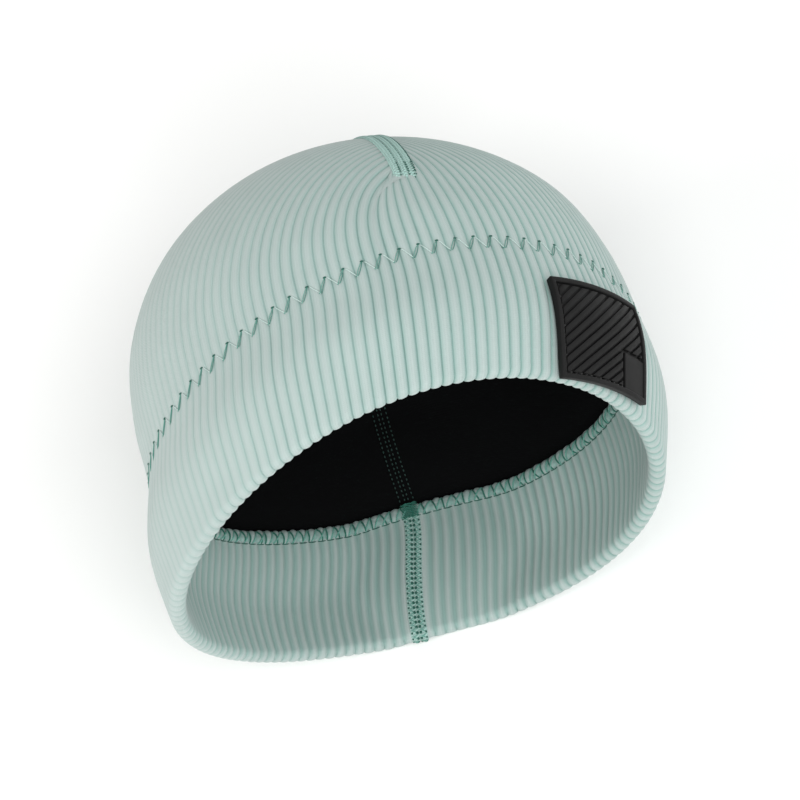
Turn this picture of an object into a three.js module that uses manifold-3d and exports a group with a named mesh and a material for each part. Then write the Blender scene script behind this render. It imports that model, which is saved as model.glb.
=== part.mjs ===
// A pull-on hat of foam-backed rib knit with a dark lining, a deep turned-in hem and a moulded rubber patch.
// Millimetres. The hat is shaped as it is worn: x towards the wearer's left ear, y towards the back of the
// head, z towards the crown. At the end it is laid on its back, with the opening towards -Y and the front up.
import * as THREE from "three";
import { mergeVertices } from "three/addons/utils/BufferGeometryUtils.js";
import { TessellateModifier } from "three/addons/modifiers/TessellateModifier.js";
import Module from "manifold-3d";

const wasm = await Module();
wasm.setup();

// The head's size
const HALF_WIDTH = 85; // ear to ear, at the widest level
const HALF_DEPTH = 92.5; // front to back, at the same level
const HEIGHT = 133; // from the rim to the crown
const FLATTENED = 0.88; // share of HALF_DEPTH at which the back lies flat on what it rests on
const PRESS_EASE = 1.2; // how softly the wall runs into that flat
const TURN_EASE = 6; // the same for the way the layers face, so that they bend gently

// The rim's edge dips, twists and leans a little round the face.
const RIM_DIP = -3.2;
const RIM_TWIST = -3.3;
const RIM_LEAN = -0.8;

// Layers, from the outside in
const WALL = 2.2; // foam-backed rib knit
const LINING = 0.7;
const GAP = 0.3; // between two layers that lie on each other
const SLACK = 0.1; // added to a gap where a thin piece lies between others
const HEM = 44.2; // how far the turned-in hem reaches up the inside, from the start of its fold
const TUCK = 8; // how far the lining reaches down behind the hem

// Ribs
const RIBS_A_QUARTER = 35;
const RIB_DEPTH = 0.7;

// The seam over the crown, in shares of the gathered top's reach round its middle
const SEAM_FRONT = 0.73;
const SEAM_FRONT_ANGLE = -72; // degrees, with the front centre at -90
const SEAM_BACK = 0.48;
const SEAM_BACK_ANGLE = 90.6;
const CROWN_SEAM_WIDTH = 7.5;
const BACK_SEAM_WIDTH = 5.6;
const SEAM_RISE = 0.5; // thickness of a raised seam band
const GATHER_BEND = 0.78; // how near to the seam the ribs run straight on before they turn to it
const RIB_TURN = 6; // degrees from the middle of the back to the rib that the back seam follows
const RIB_DRIFT = 2.4; // degrees by which the ribs at the back lean on their way up from the rim

// Overlocked edge of the hem
const OVERLOCK_DROP = 3.6; // down the hem's face
const OVERLOCK_RISE = 1.2; // above the hem's edge
const OVERLOCK_THICK = 1.1;

// Moulded patch at the wearer's left of the front
const PATCH_WIDTH = 42;
const PATCH_HEIGHT = 31.5;
const PATCH_GAP = 0.8; // over the knit's crests
const PATCH_BASE = 1;
const PATCH_FRAME = 1.7; // width of the raised frame
const FRAME_RISE = 1.3; // of the frame above the base
const BAR_RISE = 0.9;
const BAR_WIDTH = 1.75;
const BAR_PITCH = 2.45;
const BAR_SLANT = 35; // degrees
const PAD_SIZE = 11;
const PAD_MARGIN = 1; // groove between the pad and the bars
const PATCH_ANGLE = -35.4; // degrees round the head, with the front centre at -90
const PATCH_UP = 14.3; // from the start of the fold to the patch's middle, along the wall
const PATCH_TURN = 4; // degrees

// The wall from the rim to the crown. up is a share of HEIGHT, half and aside are shares of HALF_WIDTH,
// and behind is a share of HALF_DEPTH: the level's middle lies that far to the wearer's left and to the back.
const LEVELS = [
  { up: 0, half: 0.948, aside: -0.05, behind: -0.05 },
  { up: 0.172, half: 1, aside: 0, behind: -0.055 },
  { up: 0.334, half: 0.968, aside: 0.04, behind: -0.048 },
  { up: 0.504, half: 0.95, aside: 0.042, behind: -0.036 },
  { up: 0.668, half: 0.88, aside: 0.034, behind: -0.012 },
  { up: 0.82, half: 0.69, aside: 0.012, behind: -0.012 },
  { up: 0.94, half: 0.383, aside: -0.01, behind: -0.015 },
  { up: 1, half: 0, aside: -0.02, behind: -0.018 },
];
const GATHER_FROM = 0.31; // where on the levels, from rim 0 to crown 1, the ribs start to draw in to the seam
const TOP_RINGS = [0, 0.09, 0.28, 0.55]; // rows of the gathered top, from the seam outwards
const HEM_ROWS = [1, 1 - TUCK / HEM, 0.42, 0]; // rows of the hem, from its edge to the fold, as shares of HEM
const TUCK_ROW = 1; // the row at which the lining ends, which the knit's visible faces do without
const FOLD_STEPS = 3;

const MINT = new THREE.MeshStandardMaterial({ color: "#b7cdc8", roughness: 0.85, metalness: 0 });
const BLACK_JERSEY = new THREE.MeshStandardMaterial({ color: "#0c0c0d", roughness: 0.9, metalness: 0 });
const TEAL_THREAD = new THREE.MeshStandardMaterial({ color: "#6aa59a", roughness: 0.7, metalness: 0 });
const BLACK_RUBBER = new THREE.MeshStandardMaterial({ color: "#2b2828", roughness: 0.55, metalness: 0 });

const FINE = 8 * RIBS_A_QUARTER; // two columns a rib, a crest and a groove
const COARSE = 2 * RIBS_A_QUARTER; // hidden and smooth faces have one column for every second rib
const LINING_TOP = WALL + GAP; // depth of the lining's outer face
const LINING_FACE = LINING_TOP + LINING;
const HEM_BACK = LINING_FACE + GAP; // depth of the hem's hidden face
const HEM_FACE = HEM_BACK + WALL;
const FOLD_RADIUS = HEM_FACE / 2;
const BACK_FLAT = FLATTENED * HALF_DEPTH;
const SEAM_SINK = SEAM_RISE + GAP + SLACK; // depth of the channel for the back seam where the wall lies flat
const PLAIN_COLUMNS = 2; // fine columns without a groove to each side of the back seam
const CHANNEL_COLUMNS = 3; // the channel's reach to each side
const CHANNEL_ROOM = 4 * SLACK; // depth that the channel has over, for its facets aren't the true curve
const radians = THREE.MathUtils.degToRad;

// One column of the levels as a smooth curve. Past the crown it runs on as its own mirror image.
function level(name, share) {
  const last = LEVELS.length - 1;
  const place = share * last;
  const start = THREE.MathUtils.clamp(Math.floor(place), 0, last - 1);
  const t = place - start;
  const row = (i) => {
    if (i < 0) return 2 * LEVELS[0][name] - LEVELS[-i][name];
    if (i > last) return (name === "half" ? -1 : 1) * LEVELS[2 * last - i][name];
    return LEVELS[i][name];
  };
  const [a, b, c, d] = [row(start - 1), row(start), row(start + 1), row(start + 2)];
  const bend = (2 * a - 5 * b + 4 * c - d) * t * t + (3 * b - a - 3 * c + d) * t * t * t;
  return (2 * b + (c - a) * t + bend) / 2;
}

// The share, 0 to 1, by which the wall at a distance behind the middle is pressed flat.
const pressedShare = (behind, ease = PRESS_EASE) =>
  THREE.MathUtils.clamp((behind - BACK_FLAT) / (2 * ease) + 0.5, 0, 1);

function press(behind, ease = PRESS_EASE) {
  const share = pressedShare(behind, ease);
  if (share >= 1) return BACK_FLAT;
  return behind - ease * share * share;
}

// The channel is as deep as it takes to keep the back seam's band above the flat.
const channelDepth = (behind, least = 0) => Math.max(least, press(behind) + SEAM_SINK - BACK_FLAT);

// The outer skin over a flat chart of the hat, seen from above the crown: the crown is its middle,
// and its unit circle is the level where the ribs start to draw in.
function chartLevel(p, q) {
  return { share: 1 - Math.hypot(p, q) * (1 - GATHER_FROM), angle: Math.atan2(q, p) };
}

function unpressed(p, q) {
  const { share, angle } = chartLevel(p, q);
  return HALF_DEPTH * (level("half", share) * Math.sin(angle) + level("behind", share));
}

function skin(p, q, ease = PRESS_EASE) {
  const { share, angle } = chartLevel(p, q);
  const twist = RIM_DIP * Math.cos(2 * angle) + RIM_TWIST * Math.sin(2 * angle);
  const sway = (twist + RIM_LEAN * Math.sin(angle)) * (1 - share) ** 2;
  return new THREE.Vector3(
    HALF_WIDTH * (level("half", share) * Math.cos(angle) + level("aside", share)),
    press(unpressed(p, q), ease),
    HEIGHT * level("up", share) + sway,
  );
}

function outward(p, q) {
  const step = 1e-3;
  const alongP = skin(p + step, q, TURN_EASE).sub(skin(p - step, q, TURN_EASE));
  const alongQ = skin(p, q + step, TURN_EASE).sub(skin(p, q - step, TURN_EASE));
  return alongP.cross(alongQ).normalize();
}

// The crown seam as a straight run on the chart
const seamEnd = (share, degrees) =>
  new THREE.Vector2(share * Math.cos(radians(degrees)), share * Math.sin(radians(degrees)));
const seamFront = seamEnd(SEAM_FRONT, SEAM_FRONT_ANGLE);
const seamBack = seamEnd(SEAM_BACK, SEAM_BACK_ANGLE);
const seamMiddle = seamFront.clone().add(seamBack).multiplyScalar(0.5);

// The fold starts at this ring, so that its lowest point is at the rim's level.
const foldShare = FOLD_RADIUS / (HEIGHT * LEVELS[1].up * (LEVELS.length - 1));
const RIM_RING = (1 - foldShare) / (1 - GATHER_FROM);

// Where a rib lies on the chart. A rib's angle is measured from the one at the wearer's left, so that the
// back seam is at a quarter turn. Ring 1 is where the ribs start to draw in, and ring 0 is the crown seam.
function spot(rib, ring) {
  const climb = THREE.MathUtils.smoothstep(RIM_RING - ring, 0, RIM_RING - 1);
  const angle = rib + radians(RIB_TURN - RIB_DRIFT * climb * (1 + Math.sin(rib)) / 2);
  const circle = new THREE.Vector2(Math.cos(angle), Math.sin(angle));
  if (ring >= 1) return circle.multiplyScalar(ring).toArray();
  const along = Math.asin(THREE.MathUtils.clamp(Math.sin(rib), -1, 1)) / (Math.PI / 2);
  const onSeam = seamMiddle.clone().lerp(seamBack, along);
  const reach = ring * ring + 2 * ring * (1 - ring) * GATHER_BEND;
  return circle.multiplyScalar(reach).addScaledVector(onSeam, (1 - ring) ** 2).toArray();
}

function inWall(rib, ring, depth) {
  const [p, q] = spot(rib, ring);
  return skin(p, q).addScaledVector(outward(p, q), -depth);
}

// The ring that lies a distance up the wall from the start of the fold, or down the wall if it is negative
function ringUp(rib, distance) {
  const stride = 0.02;
  let ring = RIM_RING;
  let here = inWall(rib, ring, 0);
  let left = distance;
  do {
    const next = inWall(rib, ring - stride, 0);
    const length = here.distanceTo(next);
    ring -= stride * Math.min(1, left / length);
    left -= length;
    here = next;
  } while (left > 0);
  return ring;
}

const ribAngle = (column, columns) => (column / columns) * 2 * Math.PI - Math.PI / 2;

const nearBackSeam = (column, columns) => Math.abs(column - FINE / 2) <= columns;
const groove = (column) => (column % 2 && !nearBackSeam(column, PLAIN_COLUMNS) ? RIB_DEPTH : 0);

// The room that a rib has, as a share of its full width: the ribs crowd towards the seam.
function room(rib, ring) {
  if (ring >= 1) return 1;
  const step = 1e-3;
  const here = new THREE.Vector2(...spot(rib, ring));
  const onward = new THREE.Vector2(...spot(rib, ring + step)).sub(here).normalize();
  const aside = new THREE.Vector2(...spot(rib + step, ring)).sub(here);
  return Math.min(1, Math.abs(aside.cross(onward)) / step);
}

// How far the knit's outer face lies below its crests: in the grooves, which close where the wall is pressed,
// and in the channel that takes the back seam there.
function drop(column, ring) {
  const rib = ribAngle(column, FINE);
  const behind = unpressed(...spot(rib, ring));
  const open = groove(column) * room(rib, ring) * (1 - pressedShare(behind));
  return nearBackSeam(column, CHANNEL_COLUMNS) ? Math.max(open, channelDepth(behind) + CHANNEL_ROOM) : open;
}

// The same round the fold, from the outer face's drop to the hem's
function foldDrop(column, turn) {
  const outerShare = Math.max(0, Math.cos(turn));
  return groove(column) + (drop(column, RIM_RING) - groove(column)) * outerShare;
}

// A point round the fold: turn 0 is the outside of the wall and turn pi is the hem's face inside.
function roundFold(rib, turn, radius) {
  const start = inWall(rib, RIM_RING, 0);
  const out = outward(...spot(rib, RIM_RING));
  const down = inWall(rib, RIM_RING + 0.01, 0).sub(start);
  down.addScaledVector(out, -down.dot(out)).normalize();
  const way = out.clone().multiplyScalar(Math.cos(turn)).addScaledVector(down, Math.sin(turn));
  return start.addScaledVector(out, -FOLD_RADIUS).addScaledVector(way, radius);
}

// A mesh put together from rows of points that run once round the hat
class Rows {
  constructor() {
    this.points = [];
    this.triangles = [];
  }

  row(columns, place) {
    const first = this.points.length;
    for (let i = 0; i < columns; i += 1) this.points.push(place(ribAngle(i, columns), i));
    return Array.from({ length: columns }, (_, column) => first + column);
  }

  // A row on the crown seam: each point on one side is the point across the seam.
  seamRow(columns, place) {
    const first = this.points.length;
    for (let i = 0; i <= columns / 2; i += 1) this.points.push(place(ribAngle(i, columns), i));
    return Array.from({ length: columns }, (_, column) => first + Math.min(column, columns - column));
  }

  // The face between two rows. The second row may have fewer columns.
  band(many, few) {
    const ratio = many.length / few.length;
    few.forEach((corner, i) => {
      const nextCorner = few[(i + 1) % few.length];
      for (let k = 0; k < ratio; k += 1) {
        const a = many[i * ratio + k];
        const b = many[(i * ratio + k + 1) % many.length];
        const apex = k < ratio / 2 ? corner : nextCorner;
        this.triangles.push([a, b, apex]);
        if (k + 1 === Math.ceil(ratio / 2)) this.triangles.push([b, nextCorner, corner]);
      }
    });
  }

  bands(rows) {
    for (let i = 0; i + 1 < rows.length; i += 1) this.band(rows[i], rows[i + 1]);
  }

  solid() {
    return solidOf(this.points, this.triangles);
  }
}

// A closed geometry with its faces pointing out
function solidOf(points, triangles) {
  const volume = triangles.reduce((sum, [a, b, c]) => {
    return sum + points[a].dot(points[b].clone().cross(points[c]));
  }, 0);
  const ordered = volume < 0 ? triangles.map(([a, b, c]) => [a, c, b]) : triangles;
  const geometry = new THREE.BufferGeometry().setFromPoints(points);
  geometry.setIndex(ordered.flat());
  geometry.computeVertexNormals();
  return geometry;
}

// The rings of the hem's rows, which follow the wall's length at each column
const hemRings = (columns) =>
  Array.from({ length: columns }, (_, column) =>
    HEM_ROWS.map((share) => ringUp(ribAngle(column, columns), share * HEM)));
const fineHem = hemRings(FINE);
const coarseHem = hemRings(COARSE);

// The knit: down the outside from the crown seam, round the fold and up the hem's face,
// then back down behind the hem, round the inside of the fold and up under the lining.
function ribbedShell() {
  const mesh = new Rows();
  const outer = (ringOf) => (rib, column) => inWall(rib, ringOf(column), drop(column, ringOf(column)));
  const plain = (ringOf, depth) => (rib, column) => inWall(rib, ringOf(column), depth);
  const topRings = TOP_RINGS.slice(1);
  const hemRows = HEM_ROWS.map((_, i) => i);
  const shownRows = hemRows.filter((i) => i !== TUCK_ROW);
  const face = [mesh.seamRow(FINE, outer(() => 0))];
  for (const ring of topRings) face.push(mesh.row(FINE, outer(() => ring)));
  for (const i of shownRows) face.push(mesh.row(FINE, outer((column) => fineHem[column][i])));
  for (let step = 1; step < FOLD_STEPS; step += 1) {
    const turn = (Math.PI * step) / FOLD_STEPS;
    face.push(mesh.row(FINE, (rib, column) => roundFold(rib, turn, FOLD_RADIUS - foldDrop(column, turn))));
  }
  for (const i of [...shownRows].reverse()) {
    face.push(mesh.row(FINE, (rib, column) => inWall(rib, fineHem[column][i], HEM_FACE - groove(column))));
  }
  const back = hemRows.map((i) => mesh.row(COARSE, plain((column) => coarseHem[column][i], HEM_BACK)));
  back.push(mesh.row(COARSE, (rib) => roundFold(rib, Math.PI / 2, FOLD_RADIUS - WALL)));
  for (const i of [...hemRows].reverse()) {
    back.push(mesh.row(COARSE, plain((column) => coarseHem[column][i], WALL)));
  }
  for (const ring of TOP_RINGS.slice(1).reverse()) back.push(mesh.row(COARSE, plain(() => ring, WALL)));
  back.push(mesh.seamRow(COARSE, plain(() => 0, WALL)));
  mesh.bands([...face, ...back]);
  return mesh.solid();
}

function lining() {
  const mesh = new Rows();
  const layer = (depth) => {
    const rows = [mesh.seamRow(COARSE, (rib) => inWall(rib, 0, depth))];
    for (const ring of TOP_RINGS.slice(1)) rows.push(mesh.row(COARSE, (rib) => inWall(rib, ring, depth)));
    for (let i = 0; i <= TUCK_ROW; i += 1) {
      rows.push(mesh.row(COARSE, (rib, column) => inWall(rib, coarseHem[column][i], depth)));
    }
    return rows;
  };
  mesh.bands([...layer(LINING_FACE), ...layer(LINING_TOP).reverse()]);
  return mesh.solid();
}

// The thread that binds the hem's raw edge: over the edge and a little way down the hem's face
function overlock() {
  const face = HEM_FACE + GAP + SLACK;
  const front = face + OVERLOCK_THICK;
  const behind = HEM_BACK + SLACK;
  const section = [
    [-OVERLOCK_DROP, face],
    [-OVERLOCK_DROP / 2, front],
    [OVERLOCK_RISE, face],
    [OVERLOCK_RISE, behind],
    [GAP, behind],
    [GAP, face],
  ];
  const mesh = new Rows();
  const rows = section.map(([above, depth]) =>
    mesh.row(COARSE, (rib) => inWall(rib, ringUp(rib, HEM + above), depth)));
  mesh.bands([...rows, rows[0]]);
  return mesh.solid();
}

// A flat raised band along a run of stations, each a point of the face it lies on and the way up from there
function seamBand(stations, width) {
  const section = [
    [-0.5, GAP],
    [0.5, GAP],
    [0.5, GAP + SEAM_RISE * 0.6],
    [0.25, GAP + SEAM_RISE],
    [-0.25, GAP + SEAM_RISE],
    [-0.5, GAP + SEAM_RISE * 0.6],
  ];
  const points = [];
  const triangles = [];
  const sides = section.length;
  stations.forEach(({ point, up }, i) => {
    const before = stations[Math.max(0, i - 1)].point;
    const after = stations[Math.min(stations.length - 1, i + 1)].point;
    const across = up.clone().cross(after.clone().sub(before)).normalize();
    for (const [side, rise] of section) {
      points.push(point.clone().addScaledVector(across, side * width).addScaledVector(up, rise));
    }
    if (i === 0) return;
    for (let k = 0; k < sides; k += 1) {
      const [a, b] = [i * sides + k, i * sides + ((k + 1) % sides)];
      triangles.push([a, b, a - sides], [b, b - sides, a - sides]);
    }
  });
  const end = points.length - sides;
  for (let k = 1; k + 1 < sides; k += 1) triangles.push([0, k, k + 1], [end, end + k + 1, end + k]);
  return solidOf(points, triangles);
}

const CROWN_STATIONS = 14;
const SEAM_LIFT = 0.5; // added to a seam's gap over the gathered top, whose facets aren't the true curve
const INNER_SEAM_LIFT = 0.6; // the same for the seam on the lining
const backRib = Math.PI / 2;
const backHem = HEM_ROWS.map((share) => ringUp(backRib, share * HEM));

// A station of the crown seam, from the back end at 1 to the front end at -1
function onCrownSeam(share, depth) {
  const at = seamMiddle.clone().addScaledVector(seamBack.clone().sub(seamMiddle), share);
  const up = outward(at.x, at.y);
  return { point: skin(at.x, at.y).addScaledVector(up, -depth), up };
}

function onBackSeam(ring, depth) {
  return { point: inWall(backRib, ring, depth), up: outward(...spot(backRib, ring)) };
}

const crownRun = Array.from({ length: CROWN_STATIONS }, (_, i) => 1 - (2 * i) / (CROWN_STATIONS - 1));

function crownSeam() {
  return seamBand(crownRun.map((share) => onCrownSeam(share, -SEAM_LIFT)), CROWN_SEAM_WIDTH);
}

// The back seam runs from the crown seam down the outside, round the fold and up the hem's face to its edge.
function backSeam() {
  const sunk = (ring) => channelDepth(unpressed(...spot(backRib, ring)), -SEAM_LIFT);
  const outside = [...TOP_RINGS.slice(1), ...backHem].map((ring) => onBackSeam(ring, sunk(ring)));
  const foldSunk = sunk(RIM_RING);
  const fold = Array.from({ length: FOLD_STEPS - 1 }, (_, i) => {
    const turn = (Math.PI * (i + 1)) / FOLD_STEPS;
    const middle = roundFold(backRib, turn, 0);
    const radius = FOLD_RADIUS + SLACK - foldSunk * Math.max(0, Math.cos(turn));
    const point = roundFold(backRib, turn, radius);
    return { point, up: point.clone().sub(middle).normalize() };
  });
  const seamEndUp = HEM - OVERLOCK_DROP - 2 * GAP;
  const rings = [...backHem.slice(1).reverse(), ringUp(backRib, seamEndUp)];
  const inside = rings.map((ring) => onBackSeam(ring, HEM_FACE));
  inside.forEach(({ up }) => up.negate());
  return seamBand([...outside, ...fold, ...inside], BACK_SEAM_WIDTH);
}

// The same seam on the lining, from the hem's edge to the crown seam and along it to the front
function liningSeam() {
  const face = LINING_FACE + INNER_SEAM_LIFT;
  const start = ringUp(backRib, HEM + OVERLOCK_RISE + GAP);
  const up = [start, ...TOP_RINGS.slice(1).reverse()].map((ring) => onBackSeam(ring, face));
  const stations = [...up, ...crownRun.map((share) => onCrownSeam(share, face))];
  stations.forEach((station) => station.up.negate());
  return seamBand(stations, BACK_SEAM_WIDTH);
}

// A flat block of the patch: an outline in its own plane, between two heights
function block(outline, low, high) {
  const shape = new THREE.Shape(outline.map(([x, y]) => new THREE.Vector2(x, y)));
  const geometry = new THREE.ExtrudeGeometry(shape, { depth: high - low, bevelEnabled: false });
  geometry.translate(0, 0, low);
  geometry.deleteAttribute("normal");
  geometry.deleteAttribute("uv");
  const merged = mergeVertices(geometry);
  return new wasm.Manifold(
    new wasm.Mesh({
      numProp: 3,
      vertProperties: Float32Array.from(merged.attributes.position.array),
      triVerts: Uint32Array.from(merged.index.array),
    }),
  );
}

const rectangle = (left, bottom, right, top) => [[left, bottom], [right, bottom], [right, top], [left, top]];

// The patch while it is flat: a base with a raised frame, slanting bars inside it and a bare pad in a corner
function flatPatch() {
  const [right, top] = [PATCH_WIDTH / 2, PATCH_HEIGHT / 2];
  const [innerRight, innerTop] = [right - PATCH_FRAME, top - PATCH_FRAME];
  const base = block(rectangle(-right, -top, right, top), 0, PATCH_BASE);
  const barTop = PATCH_BASE + BAR_RISE;
  const frameTop = PATCH_BASE + FRAME_RISE;
  const inside = rectangle(-innerRight, -innerTop, innerRight, innerTop);
  const recess = block(inside, PATCH_BASE, 2 * frameTop);
  const frame = block(rectangle(-right, -top, right, top), PATCH_BASE / 2, frameTop).subtract(recess);
  const padOutline = (size) => rectangle(innerRight - size, -top, right, size - innerTop);
  const pad = block(padOutline(PAD_SIZE), PATCH_BASE / 2, barTop);
  const padRoom = block(padOutline(PAD_SIZE + PAD_MARGIN), 0, frameTop);
  const slant = radians(BAR_SLANT);
  const reach = Math.hypot(PATCH_WIDTH, PATCH_HEIGHT);
  const count = Math.ceil(reach / 2 / BAR_PITCH);
  const inner = block(inside, 0, frameTop);
  let patch = base.add(frame).add(pad);
  for (let i = -count; i <= count; i += 1) {
    const corners = rectangle(-reach, i * BAR_PITCH - BAR_WIDTH / 2, reach, i * BAR_PITCH + BAR_WIDTH / 2);
    const turned = corners.map(([x, y]) => {
      const point = new THREE.Vector2(x, y).rotateAround(new THREE.Vector2(), slant);
      return [point.x, point.y];
    });
    patch = patch.add(block(turned, PATCH_BASE / 2, barTop).intersect(inner).subtract(padRoom));
  }
  const { vertProperties, triVerts } = patch.getMesh();
  const geometry = new THREE.BufferGeometry();
  geometry.setAttribute("position", new THREE.BufferAttribute(vertProperties, 3));
  geometry.setIndex(new THREE.BufferAttribute(triVerts, 1));
  return geometry;
}

// The patch bent onto the wall
function patch() {
  const longest = 16;
  const fine = mergeVertices(new TessellateModifier(longest, 6).modify(flatPatch().toNonIndexed()), 1e-4);
  const position = fine.attributes.position;
  const middleRib = radians(PATCH_ANGLE - RIB_TURN);
  const middleRing = ringUp(middleRib, PATCH_UP);
  const step = 1e-3;
  const [before, after] = [middleRib - step, middleRib + step].map((rib) => inWall(rib, middleRing, 0));
  const girth = before.distanceTo(after) / (2 * step);
  const flat = new THREE.Vector3();
  const turn = radians(PATCH_TURN);
  const points = [];
  for (let i = 0; i < position.count; i += 1) {
    flat.fromBufferAttribute(position, i);
    const around = flat.x * Math.cos(turn) - flat.y * Math.sin(turn);
    const above = flat.x * Math.sin(turn) + flat.y * Math.cos(turn);
    const rib = middleRib + around / girth;
    points.push(inWall(rib, ringUp(rib, PATCH_UP + above), -PATCH_GAP - flat.z));
  }
  const corners = Array.from(fine.index.array);
  const triangles = Array.from({ length: corners.length / 3 }, (_, i) => corners.slice(3 * i, 3 * i + 3));
  return solidOf(points, triangles);
}

const hat = new THREE.Group();

function add(name, geometry, material) {
  const mesh = new THREE.Mesh(geometry, material);
  mesh.name = name;
  hat.add(mesh);
}

add("ribbed_shell", ribbedShell(), MINT);
add("lining", lining(), BLACK_JERSEY);
add("hem_overlock", overlock(), TEAL_THREAD);
add("crown_seam", crownSeam(), TEAL_THREAD);
add("back_seam", backSeam(), TEAL_THREAD);
add("lining_seam", liningSeam(), TEAL_THREAD);
add("patch", patch(), BLACK_RUBBER);

// Laid on its back, with the middle of its underside at the origin
hat.rotation.x = -Math.PI / 2;
const part = new THREE.Group();
part.add(hat);
const bounds = new THREE.Box3().setFromObject(part, true);
const middle = bounds.getCenter(new THREE.Vector3());
part.position.set(-middle.x, -middle.y, -bounds.min.z);

export default part;
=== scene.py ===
# A pull-on hat of rib knit with a dark lining and a moulded rubber patch, laid on its back.
# Lengths are millimetres where a shape is worked out, and metres in the finished meshes. The hat is shaped
# as it is worn: x to the wearer's left ear, y to the back of the head, z to the crown.
import math

import bmesh
import bpy
import numpy as np
from bpy.props import FloatProperty, FloatVectorProperty, IntProperty, PointerProperty
from mathutils import Matrix, Vector


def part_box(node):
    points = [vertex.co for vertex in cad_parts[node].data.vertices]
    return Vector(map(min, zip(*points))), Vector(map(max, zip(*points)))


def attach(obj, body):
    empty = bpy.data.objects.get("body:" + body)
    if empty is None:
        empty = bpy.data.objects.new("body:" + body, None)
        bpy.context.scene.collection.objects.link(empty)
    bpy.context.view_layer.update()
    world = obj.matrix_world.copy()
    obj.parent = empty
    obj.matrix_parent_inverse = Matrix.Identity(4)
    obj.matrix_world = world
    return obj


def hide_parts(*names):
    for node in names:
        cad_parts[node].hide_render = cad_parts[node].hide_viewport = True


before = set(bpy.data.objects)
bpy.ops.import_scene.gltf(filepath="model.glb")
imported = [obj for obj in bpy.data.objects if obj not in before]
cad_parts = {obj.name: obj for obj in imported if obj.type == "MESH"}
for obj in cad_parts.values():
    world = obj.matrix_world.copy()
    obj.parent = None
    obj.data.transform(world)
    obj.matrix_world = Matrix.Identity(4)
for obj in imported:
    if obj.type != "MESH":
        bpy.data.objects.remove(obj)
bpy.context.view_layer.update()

bl_info = {
    "name": "Rib-knit hat",
    "version": (1, 0, 0),
    "blender": (4, 5, 0),
    "location": "View3D > Sidebar > Hat",
    "description": "Builds a rib-knit hat with a turned-in hem, a lining, its seams and a rubber patch",
    "category": "Add Mesh",
}

MM = 0.001
TURN = 2 * math.pi

# The hat's shape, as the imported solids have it
HALF_WIDTH = 85
HALF_DEPTH = 92.5
HEIGHT = 133
BACK_FLAT = 0.88 * HALF_DEPTH  # where the back lies flat on the floor
PRESS_EASE = 1.2  # how softly the wall runs into that flat
TURN_EASE = 6  # the same for the way the layers face
RIM_DIP = -3.2  # how far the rim lies off its mean at the ears, and the other way at the front and back
RIM_TWIST = -3.3  # the same halfway between them
RIM_LEAN = -0.8  # how far the rim falls from its middle to the back
WALL = 2.2  # thickness of the knit
LINING = 0.7  # thickness of the lining
GAP = 0.3  # between one layer and the next
HEM = 44.2  # how far the turned-in hem reaches up the inside
TUCK = 8  # how far the lining reaches down behind the hem
RIBS = 140
GATHER_FROM = 0.31  # where the ribs start to draw in to the crown seam, from rim 0 to crown 1
RIB_TURN = math.radians(6)
RIB_DRIFT = math.radians(2.4)  # how far the ribs at the back lean from the rim to ring 1
SEAM_FRONT = 0.73 * np.array([math.cos(math.radians(-72)), math.sin(math.radians(-72))])
SEAM_BACK = 0.48 * np.array([math.cos(math.radians(90.6)), math.sin(math.radians(90.6))])
SEAM_MIDDLE = (SEAM_FRONT + SEAM_BACK) / 2
GATHER_BEND = 0.78  # how near to the seam the ribs run straight on before they turn to it
GATHER_SPREAD = 0.6  # under 1, the ribs stand further apart towards the seam's ends
CROWN_SEAM_WIDTH = 6.9
BACK_SEAM_WIDTH = 5.6
SEAM_RISE = 0.5
SEAM_SINK = SEAM_RISE + GAP + 0.3  # depth of the channel that takes the back seam on the flat
BACK_RIB = math.pi / 2  # the rib that the back seam follows

# The wall from the rim to the crown. Up is a share of HEIGHT, half and aside are shares of HALF_WIDTH,
# and behind is a share of HALF_DEPTH.
UP, HALF, ASIDE, BEHIND = range(4)
LEVELS = np.array([
    (0, 0.948, -0.05, -0.05),
    (0.172, 1, 0, -0.055),
    (0.334, 0.968, 0.04, -0.048),
    (0.504, 0.95, 0.042, -0.036),
    (0.668, 0.88, 0.034, -0.012),
    (0.82, 0.69, 0.012, -0.012),
    (0.94, 0.383, -0.01, -0.015),
    (1, 0, -0.02, -0.018),
])

# Depths of the layers below the knit's crests
LINING_TOP = WALL + GAP
LINING_FACE = LINING_TOP + LINING
HEM_BACK = LINING_FACE + GAP
HEM_FACE = HEM_BACK + WALL
FOLD_RADIUS = HEM_FACE / 2
RIM_SHARE = FOLD_RADIUS / (HEIGHT * LEVELS[1, UP] * (len(LEVELS) - 1))
RIM_RING = (1 - RIM_SHARE) / (1 - GATHER_FROM)

# Columns of a rib, from one crest at 0 to the next at 1, close together in the groove at 0.5
RIB_STEPS = np.array([0, 0.17, 0.3, 0.39, 0.45, 0.5, 0.55, 0.61, 0.7, 0.83])
GROOVE_HALF = 0.17  # half a groove's width, in ribs
CREST_DOME = 0.32  # how far a rib falls from its crest to its groove's edge, in grooves' depths
RIB_WAVES = ((0.1, 2.1, 0), (0.07, 0.63, 1))  # how uneven the grooves are: share, radians a rib, start
STRETCHED = 0.75  # how much shallower the grooves are on the wearer's right, where the knit is stretched
KNIT_SHADE = 0.9  # share of the painted groove shade at the bottom of the outside's grooves
HEM_SHADE = 0.65  # the same for the hem's grooves
HEM_GROOVE = 1.3  # how much deeper the hem's grooves are than the outside's
RIB_PITCH = 3.86  # millimetres round the widest level, for the patterns that follow the ribs
TAPE_RIBS = 1.1  # ribs to each side of the back seam that its tape covers, which leaves no groove there
CHANNEL_RIBS = 1.45  # ribs from the back seam at which its channel in the flat starts
CHANNEL_EASE = 0.35  # ribs over which the channel comes to its depth

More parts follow.
